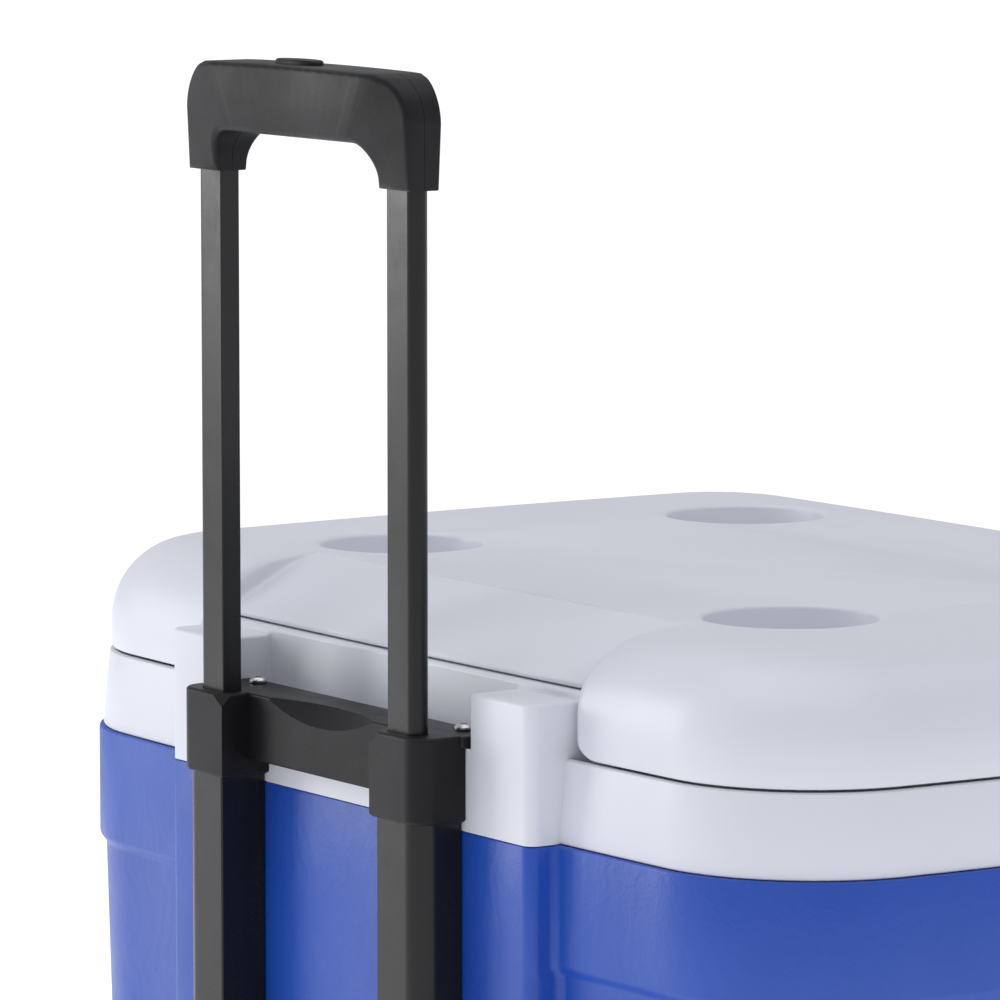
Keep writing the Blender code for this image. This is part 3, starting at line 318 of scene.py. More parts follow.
print("finishes")
blueBody = moulded("blueBody", {
    "dark": (0.007, 0.056, 0.370), "pale": (0.010, 0.072, 0.430), "rough": (0.34, 0.46),
    "wornTint": (0.030, 0.110, 0.520), "wear": 0.3, "dustTint": (0.014, 0.080, 0.440),
    "grainScale": 620, "grain": 0.45, "flow": 26, "flowDepth": 0.10, "swell": 0.3})
# the white plastic's slight blue tint is painted sky light; its patches, edge wear and dust are the
# plastic's own
whiteShell = moulded("whiteShell", {
    "dark": (0.655, 0.668, 0.735), "pale": (0.685, 0.697, 0.762), "rough": (0.33, 0.44),
    "wornTint": (0.74, 0.75, 0.80), "wear": 0.2, "dust": 0.06, "dustTint": (0.60, 0.61, 0.66),
    "grainScale": 1300, "grain": 0.12, "swell": 0.22})
linerPlastic = moulded("linerPlastic", {
    "dark": (0.76, 0.77, 0.78), "pale": (0.83, 0.84, 0.84), "rough": (0.22, 0.36),
    "wear": 0.1, "dust": 0.08, "dustTint": (0.62, 0.62, 0.60), "grain": 0.08})
blackPlastic = moulded("blackPlastic", {
    "dark": (0.005, 0.005, 0.006), "pale": (0.009, 0.009, 0.010), "rough": (0.38, 0.52),
    "wornTint": (0.026, 0.026, 0.028), "wear": 0.35, "dust": 0.20,
    "dustTint": (0.016, 0.016, 0.017), "fleckScale": 420, "grainScale": 900, "grain": 0.30,
    "specular": 0.20})
poredFoam = moulded("poredFoam", {
    "dark": (0.66, 0.57, 0.33), "pale": (0.82, 0.76, 0.52), "rough": (0.85, 0.98),
    "fleckScale": 160, "dust": 0.5, "dustTint": (0.60, 0.50, 0.28), "grainScale": 380,
    "grain": 0.9, "swell": 0.8})
treadRubber = moulded("treadRubber", {
    "dark": (0.018, 0.018, 0.019), "pale": (0.030, 0.029, 0.028), "rough": (0.70, 0.88),
    "wornTint": (0.075, 0.072, 0.068), "wear": 0.6, "dust": 0.4,
    "dustTint": (0.060, 0.056, 0.050), "fleckScale": 130, "grainScale": 500, "grain": 0.5})
sealRubber = moulded("sealRubber", {
    "dark": (0.045, 0.046, 0.050), "pale": (0.070, 0.072, 0.078), "rough": (0.55, 0.75),
    "dust": 0.3, "dustTint": (0.11, 0.11, 0.11), "grainScale": 700, "grain": 0.3})
rodMetal = metal("rodMetal", {
    "dark": (0.004, 0.004, 0.0045), "pale": (0.007, 0.007, 0.0075), "metallic": 0.0,
    "rough": (0.20, 0.30), "streakScale": 260, "streak": (1, 1, 0.03), "wear": 0.3,
    "wornTint": (0.03, 0.03, 0.03), "grain": 0.05, "specular": 0.30})
zincSteel = metal("zincSteel", {
    "dark": (0.42, 0.42, 0.41), "pale": (0.66, 0.66, 0.64), "rough": (0.22, 0.42),
    "streakScale": 300, "streak": (1, 1, 1), "wear": 0.3, "wornTint": (0.8, 0.8, 0.78)})


# plan shapes that the body, the collar and the lid are raised from

plan = {"corner": 0.077, "bow": 0.004, "cornerSteps": 18, "tightCorner": 0.012,
        "stageHalf": 0.1437, "stageOuter": 0.006, "stageInner": 0.004}
halfX = bodySize["width"] / 2 - plan["bow"]
halfY = bodySize["depth"] / 2 - plan["bow"]
coreX = halfX - plan["corner"]
coreY = halfY - plan["corner"]


def rememberHome(built):
    home = built.verts.layers.float_vector.new("home")
    for vert in built.verts:
        vert[home] = vert.co
    return built


def divide(built, longest, cuts, along):
    picked = [e for e in built.edges if e.calc_length() > longest and
              abs((e.verts[0].co - e.verts[1].co)[along]) > 0.9 * e.calc_length()]
    bmesh.ops.subdivide_edges(built, edges=picked, cuts=cuts, use_grid_fill=False)


def bodyPlan(staged, near=24, far=24, side=20):
    proud = stageProud + plan["bow"]
    points = [(-halfX, -halfY), (halfX, -halfY), (halfX, halfY), (-halfX, halfY)]
    if staged:
        half = plan["stageHalf"]
        points[1:1] = [(-half, -halfY), (-half, -halfY - proud), (half, -halfY - proud),
                       (half, -halfY)]
    built = flatPlan(points)
    bmesh.ops.delete(built, geom=built.faces[:], context="FACES_ONLY")
    corners = [v for v in built.verts if abs(abs(v.co.x) - halfX) < 1e-6]
    roundCorners(built, corners, plan["corner"], plan["cornerSteps"])
    if staged:
        face = [v for v in built.verts if v.co.y < -halfY - proud + 1e-6]
        roundCorners(built, face, plan["stageOuter"], 6)
        inner = [v for v in built.verts if abs(abs(v.co.x) - plan["stageHalf"]) < 1e-6
                 and abs(v.co.y + halfY) < 1e-6]
        roundCorners(built, inner, plan["stageInner"], 4)
    divide(built, 0.15, near, 0)
    divide(built, 0.03, side, 1)
    return built


def drawnIn(home, inset):
    x, y = home[0], home[1]
    cx = max(-coreX, min(coreX, x))
    cy = max(-coreY, min(coreY, y))
    away = Vector((x - cx, y - cy))
    away.normalize()
    radius = max(plan["corner"] - inset, plan["tightCorner"])
    tx, ty = cx / coreX, cy / coreY
    newX = tx * (halfX - inset - radius) + away.x * radius
    newY = ty * (halfY - inset - radius) + away.y * radius
    if abs(away.x) < 1e-4:
        newY += math.copysign(plan["bow"] * (1 - tx * tx), away.y)
    if abs(away.y) < 1e-4:
        newX += math.copysign(plan["bow"] * (1 - ty * ty), away.x)
    return newX, newY


def stagedIn(home, inset, stageInset):
    x, y = home[0], home[1]
    reach = plan["stageHalf"] + plan["stageInner"] + 1e-5
    if y > -halfY + 1e-6 or abs(x) > reach:
        return drawnIn(home, inset)
    proud = stageProud + plan["bow"]
    out = max(0.0, min(1.0, (-halfY - y) / proud))
    wall = drawnIn((x, -halfY), inset)[1]
    faceY = -bodySize["depth"] / 2 - stageProud + stageInset
    return x - stageInset * x / plan["stageHalf"], wall + (faceY - wall) * out


def raiseRows(built, rows, place):
    home = built.verts.layers.float_vector["home"]
    ring = built.edges[:]
    for vert in built.verts:
        vert.co = place(vert[home], rows[0])
    for row in rows[1:]:
        grown = bmesh.ops.extrude_edge_only(built, edges=ring)["geom"]
        ring = [g for g in grown if isinstance(g, bmesh.types.BMEdge)]
        for vert in (g for g in grown if isinstance(g, bmesh.types.BMVert)):
            vert.co = place(vert[home], row)
    return ring


def capEnds(built, *rings):
    for ring in rings:
        bmesh.ops.edgeloop_fill(built, edges=ring)
    bmesh.ops.recalc_face_normals(built, faces=built.faces[:])


# body shell

print("body")
body = {"baseTaper": 0.007, "bandStep": 0.003, "bandHeight": 0.055, "baseRound": 0.012,
        "wall": 0.003, "wellGap": 0.005, "wellInner": 0.2355, "beamHalf": 0.0185,
        "beamTop": 0.0745, "liftHalf": 0.056, "liftHeight": 0.030, "liftDepth": 0.016,
        "drain": (-0.150, 0.080), "drainRadius": 0.0133}
bandLow = shellHigh.z - body["bandHeight"]


def bodyRows(skin, low, high):
    base = body["baseTaper"] + body["bandStep"] + skin
    rows = []
    for step in range(7):
        turn = math.pi / 2 * step / 6
        inset = base + body["baseRound"] * (1 - math.sin(turn))
        rows.append((inset, skin, low + body["baseRound"] * (1 - math.cos(turn))))
    for share in (0.25, 0.5, 0.75):
        z = low + body["baseRound"] + (bandLow - low - body["baseRound"]) * share
        rows.append((base + (body["bandStep"] + skin - base) * share, skin, z))
    for inset, rise in ((1.0, -0.0012), (1.0, 0.0), (0.88, 0.0008), (0.55, 0.0022),
                        (0.2, 0.0036), (0.04, 0.0046), (0.0, 0.0056)):
        rows.append((body["bandStep"] * inset + skin, skin, bandLow + rise))
    rows += [(skin, skin, high - 0.0012), (skin + 0.0003, skin + 0.0003, high - 0.0004),
             (skin + 0.0010, skin + 0.0010, high)]
    return rows


def bodySolid(skin, low, high):
    built = rememberHome(bodyPlan(True))
    first = built.edges[:]

    def place(home, row):
        x, y = stagedIn(home, row[0], row[1])
        return x, y + bodyMiddle, row[2]
    last = raiseRows(built, bodyRows(skin, low, high), place)
    capEnds(built, first, last)
    return built


def wellTools(grow):
    made = []
    radius = (tyreHigh.z - tyreLow.z) / 2 + body["wellGap"] + grow
    inner = body["wellInner"] - grow
    for side in (-1, 1):
        well = drum((side * (inner + 0.15), wheelLine.y, wheelLine.z), "X", radius, 0.30, 72)
        made.append(tool(well, "well"))
        x = sorted((side * inner, side * (inner + 0.30)))
        made.append(tool(block((x[0], wheelLine.y - radius, -0.05),
                               (x[1], wheelLine.y + radius, wheelLine.z)), "wellFoot"))
    half = body["beamHalf"] + grow
    made.append(tool(block((-0.237, wheelLine.y - half, -0.05),
                           (0.237, wheelLine.y + half, body["beamTop"] + grow)), "channel"))
    for side in (-1, 1):
        inner = side * (bodySize["width"] / 2 - body["bandStep"] - body["liftDepth"] - grow)
        x = sorted((inner, side * bodySize["width"]))
        low = (x[0], bodyMiddle - body["liftHalf"] - grow, bandLow - body["liftHeight"] - grow)
        high = (x[1], bodyMiddle + body["liftHalf"] + grow, bandLow - 0.002 + grow)
        made.append(tool(block(low, high, 0.007, 5), "liftPocket"))
    return made


outerBody = newPiece("body_shell", bodySolid(0.0, shellLow.z, shellHigh.z), blueBody)
carve(outerBody, *wellTools(0))
innerBody = tool(bodySolid(body["wall"], shellLow.z + body["wall"], shellHigh.z + 0.01), "bodyInside")
carve(innerBody, *wellTools(body["wall"]))
drainAt = Vector((body["drain"][0], shellHigh.y, body["drain"][1]))
carve(outerBody, innerBody, tool(drum(drainAt, "Y", body["drainRadius"], 0.12, 40), "drainHole"))
settle(outerBody, "cooler_body", "blue_plastic", "outer_shell")


# collar with the handle's towers and pocket

print("collar")
collar = {"inset": 0.002, "draft": 0.003, "openingInset": 0.0258, "channelDepth": 0.0018,
          "pocketHalf": 0.099, "pocketBack": 0.040, "lipWall": 0.008, "towerDrop": 0.0285,
          "lipDrop": 0.0253, "edge": 0.0026}
seamInset = collar["inset"] + collar["draft"]
collarRows = [
    (collar["openingInset"], collarLow.z), (collar["inset"] + 0.0008, collarLow.z),
    (collar["inset"] + 0.0002, collarLow.z + 0.0004), (collar["inset"], collarLow.z + 0.0012),
    (collar["inset"] + 0.5 * collar["draft"], (collarLow.z + seam) / 2),
    (seamInset, seam - 0.0016), (seamInset + 0.0003, seam - 0.0006), (seamInset + 0.0014, seam),
    (seamInset + 0.0030, seam), (seamInset + 0.0036, seam - 0.0006),
    (seamInset + 0.0040, seam - collar["channelDepth"]),
    (seamInset + 0.0125, seam - collar["channelDepth"]),
    (seamInset + 0.0130, seam - 0.0006), (seamInset + 0.0138, seam),
    (collar["openingInset"] - 0.0006, seam), (collar["openingInset"], seam - 0.0008)]
built = rememberHome(bodyPlan(False, near=60, far=60))
firstRing = built.edges[:]


def collarPlace(home, row):
    x, y = drawnIn(home, row[0])
    return x, y + bodyMiddle, row[1]


lastRing = raiseRows(built, collarRows, collarPlace)
bmesh.ops.bridge_loops(built, edges=firstRing + lastRing)
bmesh.ops.recalc_face_normals(built, faces=built.faces[:])
collarRing = newPiece("collar_ring", built, whiteShell)

stageBack = rodLine + collar["pocketBack"]
stagePlan = bmesh.new()
columns = [-plan["stageHalf"], -collar["pocketHalf"], collar["pocketHalf"], plan["stageHalf"]]
depths = [stageFace, stageBack, stageBack + collar["lipWall"]]
grid = [[stagePlan.verts.new((x, y, collarLow.z)) for x in columns] for y in depths]
for lower, upper in zip(grid, grid[1:]):
    for i in range(3):
        stagePlan.faces.new((lower[i], lower[i + 1], upper[i + 1], upper[i]))


def liftFaces(built, picked, height):
    grown = bmesh.ops.extrude_face_region(built, geom=picked)["geom"]
    bmesh.ops.translate(built, vec=(0, 0, height),
                        verts=[g for g in grown if isinstance(g, bmesh.types.BMVert)])
    bmesh.ops.delete(built, geom=picked, context="FACES_ONLY")
    return [g for g in grown if isinstance(g, bmesh.types.BMFace)]


tops = bmesh.ops.extrude_face_region(stagePlan, geom=stagePlan.faces[:])["geom"]
bmesh.ops.translate(stagePlan, vec=(0, 0, seam - collarLow.z),
                    verts=[g for g in tops if isinstance(g, bmesh.types.BMVert)])
tops = [g for g in tops if isinstance(g, bmesh.types.BMFace)]
raised = [f for f in tops if abs(f.calc_center_median().x) > collar["pocketHalf"]
          or f.calc_center_median().y > stageBack]
raised = liftFaces(stagePlan, raised, lidTop - collar["towerDrop"] - seam)
lipFaces = [f for f in raised if f.calc_center_median().y > stageBack]
liftFaces(stagePlan, lipFaces, collar["towerDrop"] - collar["lipDrop"])
bmesh.ops.recalc_face_normals(stagePlan, faces=stagePlan.faces[:])
outerVertical = [e for e in stagePlan.edges
                 if all(abs(abs(v.co.x) - plan["stageHalf"]) < 1e-6 and v.co.y < stageFace + 1e-6
                        for v in e.verts) and abs(e.verts[0].co.z - e.verts[1].co.z) > 1e-4]
roundEdges(stagePlan, outerVertical, plan["stageOuter"], 8)
creases = [e for e in stagePlan.edges if len(e.link_faces) == 2
           and e.calc_face_angle() > math.radians(35) and max(v.co.z for v in e.verts) > seam + 1e-4]
roundEdges(stagePlan, creases, collar["edge"], 4)
stageBlock = tool(stagePlan, "stageBlock")
carve(collarRing, stageBlock, operation="UNION")
settle(collarRing, "cooler_body", "white_plastic", "collar")


# lid

print("lid")
lid = {"rim": 0.006, "edge": 0.037, "crown": 0.0021, "crownEnd": 0.0604, "gap": 0.0010,
       "wall": 0.0033, "lipFront": 0.0179, "lipHigh": 0.0217, "lipLow": 0.0248, "notchHalf": 0.1444,
       "groove": 0.0011, "lobeCorner": 0.018, "cupX": 0.1503, "cupNear": 0.1435, "cupFar": 0.3386,
       "farLine": 0.103, "farHalf": 0.108, "farDepth": 0.0013}
rimZ = seam + lid["gap"]
edgeZ = lidTop - 0.0385
panTop = lidLow.z + 0.0058
arcEnd = math.radians(80)
crownStart = lid["rim"] + lid["edge"] * (1 - math.cos(arcEnd))


def crownZ(inset):
    share = (inset - crownStart) / (lid["crownEnd"] - crownStart)
    return lidTop - lid["crown"] * (1 - max(0.0, min(1.0, share))) ** 2


underRows = [(lid["wall"] + 0.0002, panTop - rimZ), (lid["wall"], 0.0016), (0.0029, 0.0005),
             (0.0016, 0.0), (0.0005, 0.0004), (0.0, 0.0014), (0.0, edgeZ - 0.004 - rimZ)]
lobePath = [(lid["rim"] + inset, rimZ + rise) for inset, rise in underRows]
lobePath += [(lid["rim"] + lid["edge"] * (1 - math.cos(arcEnd * i / 11)),
              edgeZ + lid["edge"] * math.sin(arcEnd * i / 11)) for i in range(12)]
lobePath += [(inset, crownZ(inset)) for inset in (0.0385, 0.0440, 0.0510, 0.0580, 0.0654)]
notchRim = lid["lipFront"] + 0.0045
notchPath = [(notchRim + inset, rimZ + rise) for inset, rise in underRows[:-1]]
lipFront, lipLow, lipHigh = lid["lipFront"], lidTop - lid["lipLow"], lidTop - lid["lipHigh"]
notchPath += [(notchRim, lipLow - 0.0020), (notchRim, lipLow - 0.0011),
              (notchRim - 0.0004, lipLow - 0.0003), (notchRim - 0.0015, lipLow),
              (lipFront + 0.0012, lipLow), (lipFront + 0.0003, lipLow + 0.0005),
              (lipFront, lipLow + 0.0011), (lipFront, lipHigh - 0.0010),
              (lipFront + 0.0004, lipHigh - 0.0004), (lipFront + 0.0014, lipHigh)]
topInsets = [0.0666, 0.0678, 0.071, 0.077, 0.084, 0.091, 0.098, 0.1017, 0.1024, 0.1030, 0.1037,
             0.1047, 0.108, 0.115, 0.125]


def smooth(value):
    value = max(0.0, min(1.0, value))
    return value * value * (3 - 2 * value)


def slopePoint(step, x):
    aside = smooth((abs(x) - 0.055) / 0.080)
    foot = notchPath[-1]
    head = (lobePath[-1][0], lobePath[-1][1] - 0.0002)
    brow = (0.0440 + 0.0060 * aside, lidTop - 0.0088 + 0.0030 * aside)
    if step <= 3:
        share = step / 3
        return foot[0] + (brow[0] - foot[0]) * share, foot[1] + (brow[1] - foot[1]) * share
    share = (step - 3) / 5
    return brow[0] + (head[0] - brow[0]) * share, brow[1] + (head[1] - brow[1]) * share


def lobeShare(x):
    return float(np.interp(abs(x), [0.1397, 0.1427, 0.1439, 0.1445, 0.1452, 0.1464, 0.1482, 0.1507,
                                    0.1542], [0.0, 0.03, 0.14, 0.38, 0.62, 0.80, 0.91, 0.98, 1.0]))


def lidPlace(home, row):
    x, y = home[0], home[1]
    near = y < -halfY + 1e-5
    if row < len(lobePath):
        inset, z = lobePath[row]
        along = abs(x) - lid["notchHalf"]
        if near and along < lid["lobeCorner"]:
            short = lid["lobeCorner"] - max(along, 0.0)
            lift = lid["lobeCorner"] - math.sqrt(max(lid["lobeCorner"] ** 2 - short ** 2, 0.0))
            z += lift * max(0.0, 1 - (z - rimZ) / 0.034) if z < rimZ + 0.034 else 0.0
        share = lobeShare(x) if near else 1.0
        if share < 1.0:
            slope = row - len(notchPath) + 1
            notch = notchPath[row] if slope <= 0 else slopePoint(slope, x)
            inset = notch[0] + (inset - notch[0]) * share
            z = notch[1] + (z - notch[1]) * share
    else:
        inset = topInsets[row - len(lobePath)]
        z = crownZ(inset)
        if row == len(lobePath) and near:
            z -= lid["groove"] * (1 - lobeShare(x))
        if y > halfY - 1e-5:
            across = smooth((lid["farHalf"] - abs(x)) / 0.004)
            dip = lid["farDepth"] * smooth((lid["farLine"] + 0.0006 - inset) / 0.0012)
            z -= across * dip * smooth((inset - 0.067) / 0.03)
            if abs(inset - lid["farLine"]) < 1e-5:
                z -= 0.0006 * across
    px, py = drawnIn(home, inset)
    return px, py + bodyMiddle, z


built = bodyPlan(False, near=84)
knots = [-coreX, -0.166, -0.1530, -0.1456, -0.1438, -0.1404, -0.129, 0,
         0.129, 0.1404, 0.1438, 0.1456, 0.1530, 0.166, coreX]
counts = np.cumsum([0, 3, 5, 7, 6, 5, 3, 14, 14, 3, 5, 6, 7, 5, 3]) / 86
for vert in built.verts:
    if vert.co.y < -halfY + 1e-6 and abs(vert.co.x) < coreX - 1e-6:
        vert.co.x = np.interp((vert.co.x + coreX) / (2 * coreX), counts, knots)
rememberHome(built)
firstRing = built.edges[:]
lastRing = raiseRows(built, range(len(lobePath) + len(topInsets)), lidPlace)
capEnds(built, firstRing, lastRing)
lidShell = newPiece("lid_top", built, whiteShell, 40)

cupProfile = [(0.0, -0.0140), (0.0331, -0.0140), (0.0346, -0.0138), (0.0358, -0.0131),
              (0.0365, -0.0120), (0.0368, -0.0105), (0.0373, -0.0022), (0.0375, -0.0014),
              (0.0379, -0.0008), (0.0386, -0.0004), (0.0398, 0.00005), (0.0416, 0.0008),
              (0.0416, 0.0100), (0.0, 0.0100)]
cups = [tool(turned(cupProfile, (side * lid["cupX"], rodLine + lid[row], lidTop), "Z", 96), "cup")
        for side in (-1, 1) for row in ("cupNear", "cupFar")]
carve(lidShell, *cups)
settle(lidShell, "lid", "white_plastic", "lid_shell")


# rods, tubes, bracket

print("handle")
handle = {"rodHalf": 0.010, "rodDepth": 0.0095, "rodWall": 0.0015, "tubeWall": 0.0018,
          "tubeCorner": 0.010, "slotGap": 0.0004}


def barPlan(inner, outer, front, back, roundFront, roundBack, side, steps=10):
    points = [(side * inner, front), (side * outer, front), (side * outer, back), (side * inner, back)]
    built = flatPlan(points)
    built.verts.ensure_lookup_table()
    ahead = [v for v in built.verts if abs(v.co.x - side * outer) < 1e-7 and abs(v.co.y - front) < 1e-7]
    behind = [v for v in built.verts if abs(v.co.x - side * outer) < 1e-7 and abs(v.co.y - back) < 1e-7]
    if roundFront:
        roundCorners(built, ahead, roundFront, steps)
    if roundBack:
        roundCorners(built, behind, roundBack, steps)
    return built


for side, tag in ((-1, "left"), (1, "right")):
    low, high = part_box(f"rod_{tag}")
    half = handle["rodDepth"] / 2
    rod = barPlan(rodX - handle["rodHalf"], rodX + handle["rodHalf"], rodLine - half, rodLine + half,
                  half * 0.98, half * 0.98, side)
    rod = newPiece(f"pull_rod_{tag}", pushUp(rod, low.z, high.z), rodMetal, 28)
    thin = handle["rodWall"]
    bore = barPlan(rodX - handle["rodHalf"] + thin, rodX + handle["rodHalf"] - thin,
                   rodLine - half + thin, rodLine + half - thin, 0.003, 0.003, side)
    carve(rod, tool(pushUp(bore, low.z - 0.01, high.z + 0.01), "rodBore"))
    soften(rod, 0.0006, 3)
    settle(rod, "handle", "black_metal", f"rod_{tag}")

    low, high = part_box(f"handle_tube_{tag}")
    near, far = min(abs(low.x), abs(high.x)), max(abs(low.x), abs(high.x))
    wall = handle["tubeWall"]
    sleeve = newPiece(f"slide_tube_{tag}", pushUp(barPlan(near, far, low.y, high.y,
                                                          handle["tubeCorner"], 0, side),
                                                  low.z, high.z), rodMetal, 28)
    bore = barPlan(near + wall, far - wall, low.y + wall, high.y - wall,
                   handle["tubeCorner"] - wall, 0, side)
    carve(sleeve, tool(pushUp(bore, low.z - 0.01, high.z + 0.01), "tubeBore"))
    soften(sleeve, 0.0009, 3)
    settle(sleeve, "cooler_body", "black_metal", f"handle_tube_{tag}")

upper = {"inner": 0.0593, "outer": 0.0965, "front": 0.0097, "barFront": 0.0033, "barLift": 0.0074,
         "collarRound": 0.0105, "edge": 0.0016, "scoopRadius": 0.160, "scoopBite": 0.0060}
plate = tool(block((-0.062, rodLine + upper["barFront"], bracketLow.z + upper["barLift"]),
                   (0.062, stageFace - 0.0003, bracketHigh.z), 0.0012, 3), "bar")
bracket = newPiece("bracket_flange", block(
    (-0.098, stageFace - 0.0033, seam + 0.0003), (0.098, rodLine + 0.030, seam + 0.0053), 0.0012, 3),
    blackPlastic)
lumps = [plate]
for side in (-1, 1):
    lump = barPlan(upper["inner"], upper["outer"], rodLine - upper["front"], stageFace - 0.0003,
                   upper["collarRound"], 0, side)
    lump = pushUp(lump, bracketLow.z, bracketHigh.z)
    rims = [e for e in lump.edges if abs(e.verts[0].co.z - e.verts[1].co.z) < 1e-7]
    roundEdges(lump, rims, upper["edge"], 4)
    lumps.append(tool(lump, "bracketCollar"))
carve(bracket, *lumps, operation="UNION")
cutters = []
for side in (-1, 1):
    slotHalf = handle["rodHalf"] + handle["slotGap"]
    slotPlan = barPlan(rodX - slotHalf, rodX + slotHalf, rodLine - 0.0051, rodLine + 0.0051,
                       0.005, 0.005, side)
    cutters.append(tool(pushUp(slotPlan, bracketLow.z + 0.002, bracketHigh.z + 0.01), "rodSlot"))
scoop = drum((0, 0, 0), "Z", upper["scoopRadius"], 0.2, 128)
bmesh.ops.rotate(scoop, verts=scoop.verts, cent=(0, 0, 0), matrix=Matrix.Rotation(-math.pi / 4, 3, "X"))
back = (upper["scoopRadius"] - upper["scoopBite"]) * math.sqrt(0.5)
bmesh.ops.translate(scoop, verts=scoop.verts,
                    vec=(0, rodLine + upper["barFront"] - back, bracketHigh.z + back))
cutters.append(tool(scoop, "scoop"))
carve(bracket, *cutters)
soften(bracket, 0.0008, 2)
settle(bracket, "cooler_body", "black_plastic", "handle_bracket")

low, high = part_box("lower_bracket")
foot = newPiece("foot_bracket", block(low, high, 0.003, 5), blackPlastic)
carve(foot, tool(block((-0.0584, low.y - 0.01, low.z - 0.01), (0.0584, high.y - 0.009, high.z + 0.02),
                       0.003, 3), "relief"))
cutters = []
for side in (-1, 1):
    x = sorted((side * 0.0621, side * 0.0943))
    cutters.append(tool(block((x[0], tubeLow.y - 0.0003, tubeLow.z - 0.0003),
                              (x[1], high.y + 0.01, high.z + 0.02)), "tubeSocket"))
carve(foot, *cutters)
soften(foot, 0.0008, 2)
settle(foot, "cooler_body", "black_plastic", "lower_bracket")


# grip

print("grip")
grip = {"half": gripHigh.x, "low": gripLow.z, "top": gripHigh.z, "depth": 0.029, "legDepth": 0.016,
        "bar": 0.0302, "corner": 0.020, "gusset": 0.014, "rim": 0.0095, "hump": 0.0012}


def gripPlan():
    legIn = rodX - 0.012
    under = grip["top"] - grip["bar"]
    top = grip["top"] - 0.0012
    outline = [(-grip["half"], grip["low"]), (-legIn, grip["low"]), (-legIn, under), (legIn, under),
               (legIn, grip["low"]), (grip["half"], grip["low"]), (grip["half"], top),
               (-grip["half"], top)]
    built = flatPlan(outline)
    built.verts.ensure_lookup_table()
    verts = built.verts[:]
    inner, outer = [verts[2], verts[3]], [verts[6], verts[7]]
    roundCorners(built, outer, grip["corner"], 12)
    roundCorners(built, inner, grip["gusset"], 10)
    longTop = [e for e in built.edges if e.calc_length() > 0.05 and e.verts[0].co.y > under + 0.001]
    longUnder = [e for e in built.edges if e.calc_length() > 0.05 and abs(e.verts[0].co.y - under) < 1e-6]
    bmesh.ops.subdivide_edges(built, edges=longTop + longUnder, cuts=15)
    for vert in built.verts:
        if vert.co.y > top - 1e-6:
            vert.co.y += grip["hump"] * (1 - (vert.co.x / grip["half"]) ** 2)
    bmesh.ops.rotate(built, verts=built.verts, cent=(0, 0, 0),
                     matrix=Matrix.Rotation(math.pi / 2, 3, "X"))
    return built


for sign, tag in ((-1, "front"), (1, "rear")):
    built = gripPlan()
    startY = rodLine + sign * 0.00015
    bmesh.ops.translate(built, vec=(0, startY, 0), verts=built.verts)
    grown = bmesh.ops.extrude_face_region(built, geom=built.faces[:])["geom"]
    moved = [g for g in grown if isinstance(g, bmesh.types.BMVert)]
    bmesh.ops.translate(built, vec=(0, sign * (grip["depth"] / 2 - 0.00015), 0), verts=moved)
    bmesh.ops.recalc_face_normals(built, faces=built.faces[:])
    rimEdges = [e for e in built.edges
                if all(abs(v.co.y - rodLine - sign * grip["depth"] / 2) < 1e-6 for v in e.verts)]
    roundEdges(built, rimEdges, grip["rim"], 7)
    for vert in built.verts:
        out = vert.co.y - rodLine
        rise = smooth((vert.co.z - grip["low"]) / 0.026)
        rise *= 1 - 0.8 * smooth((abs(vert.co.x) - 0.058) / 0.030)
        squeeze = (grip["legDepth"] + (grip["depth"] - grip["legDepth"]) * rise) / grip["depth"]
        vert.co.y = rodLine + out * squeeze
    half = newPiece(f"grip_half_{tag}", built, blackPlastic, 40)
    settle(half, "handle", "black_plastic", f"grip_{tag}")

# tools for the pieces that keep the frame's shape
def copyOf(node):
    built = bmesh.new()
    built.from_mesh(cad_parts[node].data)
    built.transform(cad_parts[node].matrix_world)
    return built


def dressed(name, node, body, finishSlot, material, width, segments=3):
    built = copyOf(node)
    bmesh.ops.remove_doubles(built, verts=built.verts, dist=1e-6)
    bmesh.ops.dissolve_limit(built, angle_limit=math.radians(1), verts=built.verts, edges=built.edges)
    piece = newPiece(name, built, material, 35)
    soften(piece, width, segments)
    return settle(piece, body, finishSlot, node)


# release button, a little hollow in its middle
button = {"offset": -0.009, "halfX": 0.018, "halfY": 0.0065}
low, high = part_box("release_button")
oval = [(0.0, low.z - high.z), (0.94, low.z - high.z), (0.94, -0.0016), (0.93, -0.0008), (0.89, -0.0002),
        (0.84, 0.0), (0.30, -0.0003), (0.12, -0.0007), (0.0, -0.0008)]
built = turned([(r * button["halfX"], z) for r, z in oval], (0, 0, 0), "Z", 72)
bmesh.ops.scale(built, vec=(1, button["halfY"] / button["halfX"], 1), verts=built.verts)
bmesh.ops.translate(built, vec=(button["offset"], rodLine, high.z), verts=built.verts)
settle(newPiece("press_button", built, blackPlastic, 50), "release", "black_plastic", "release_button")


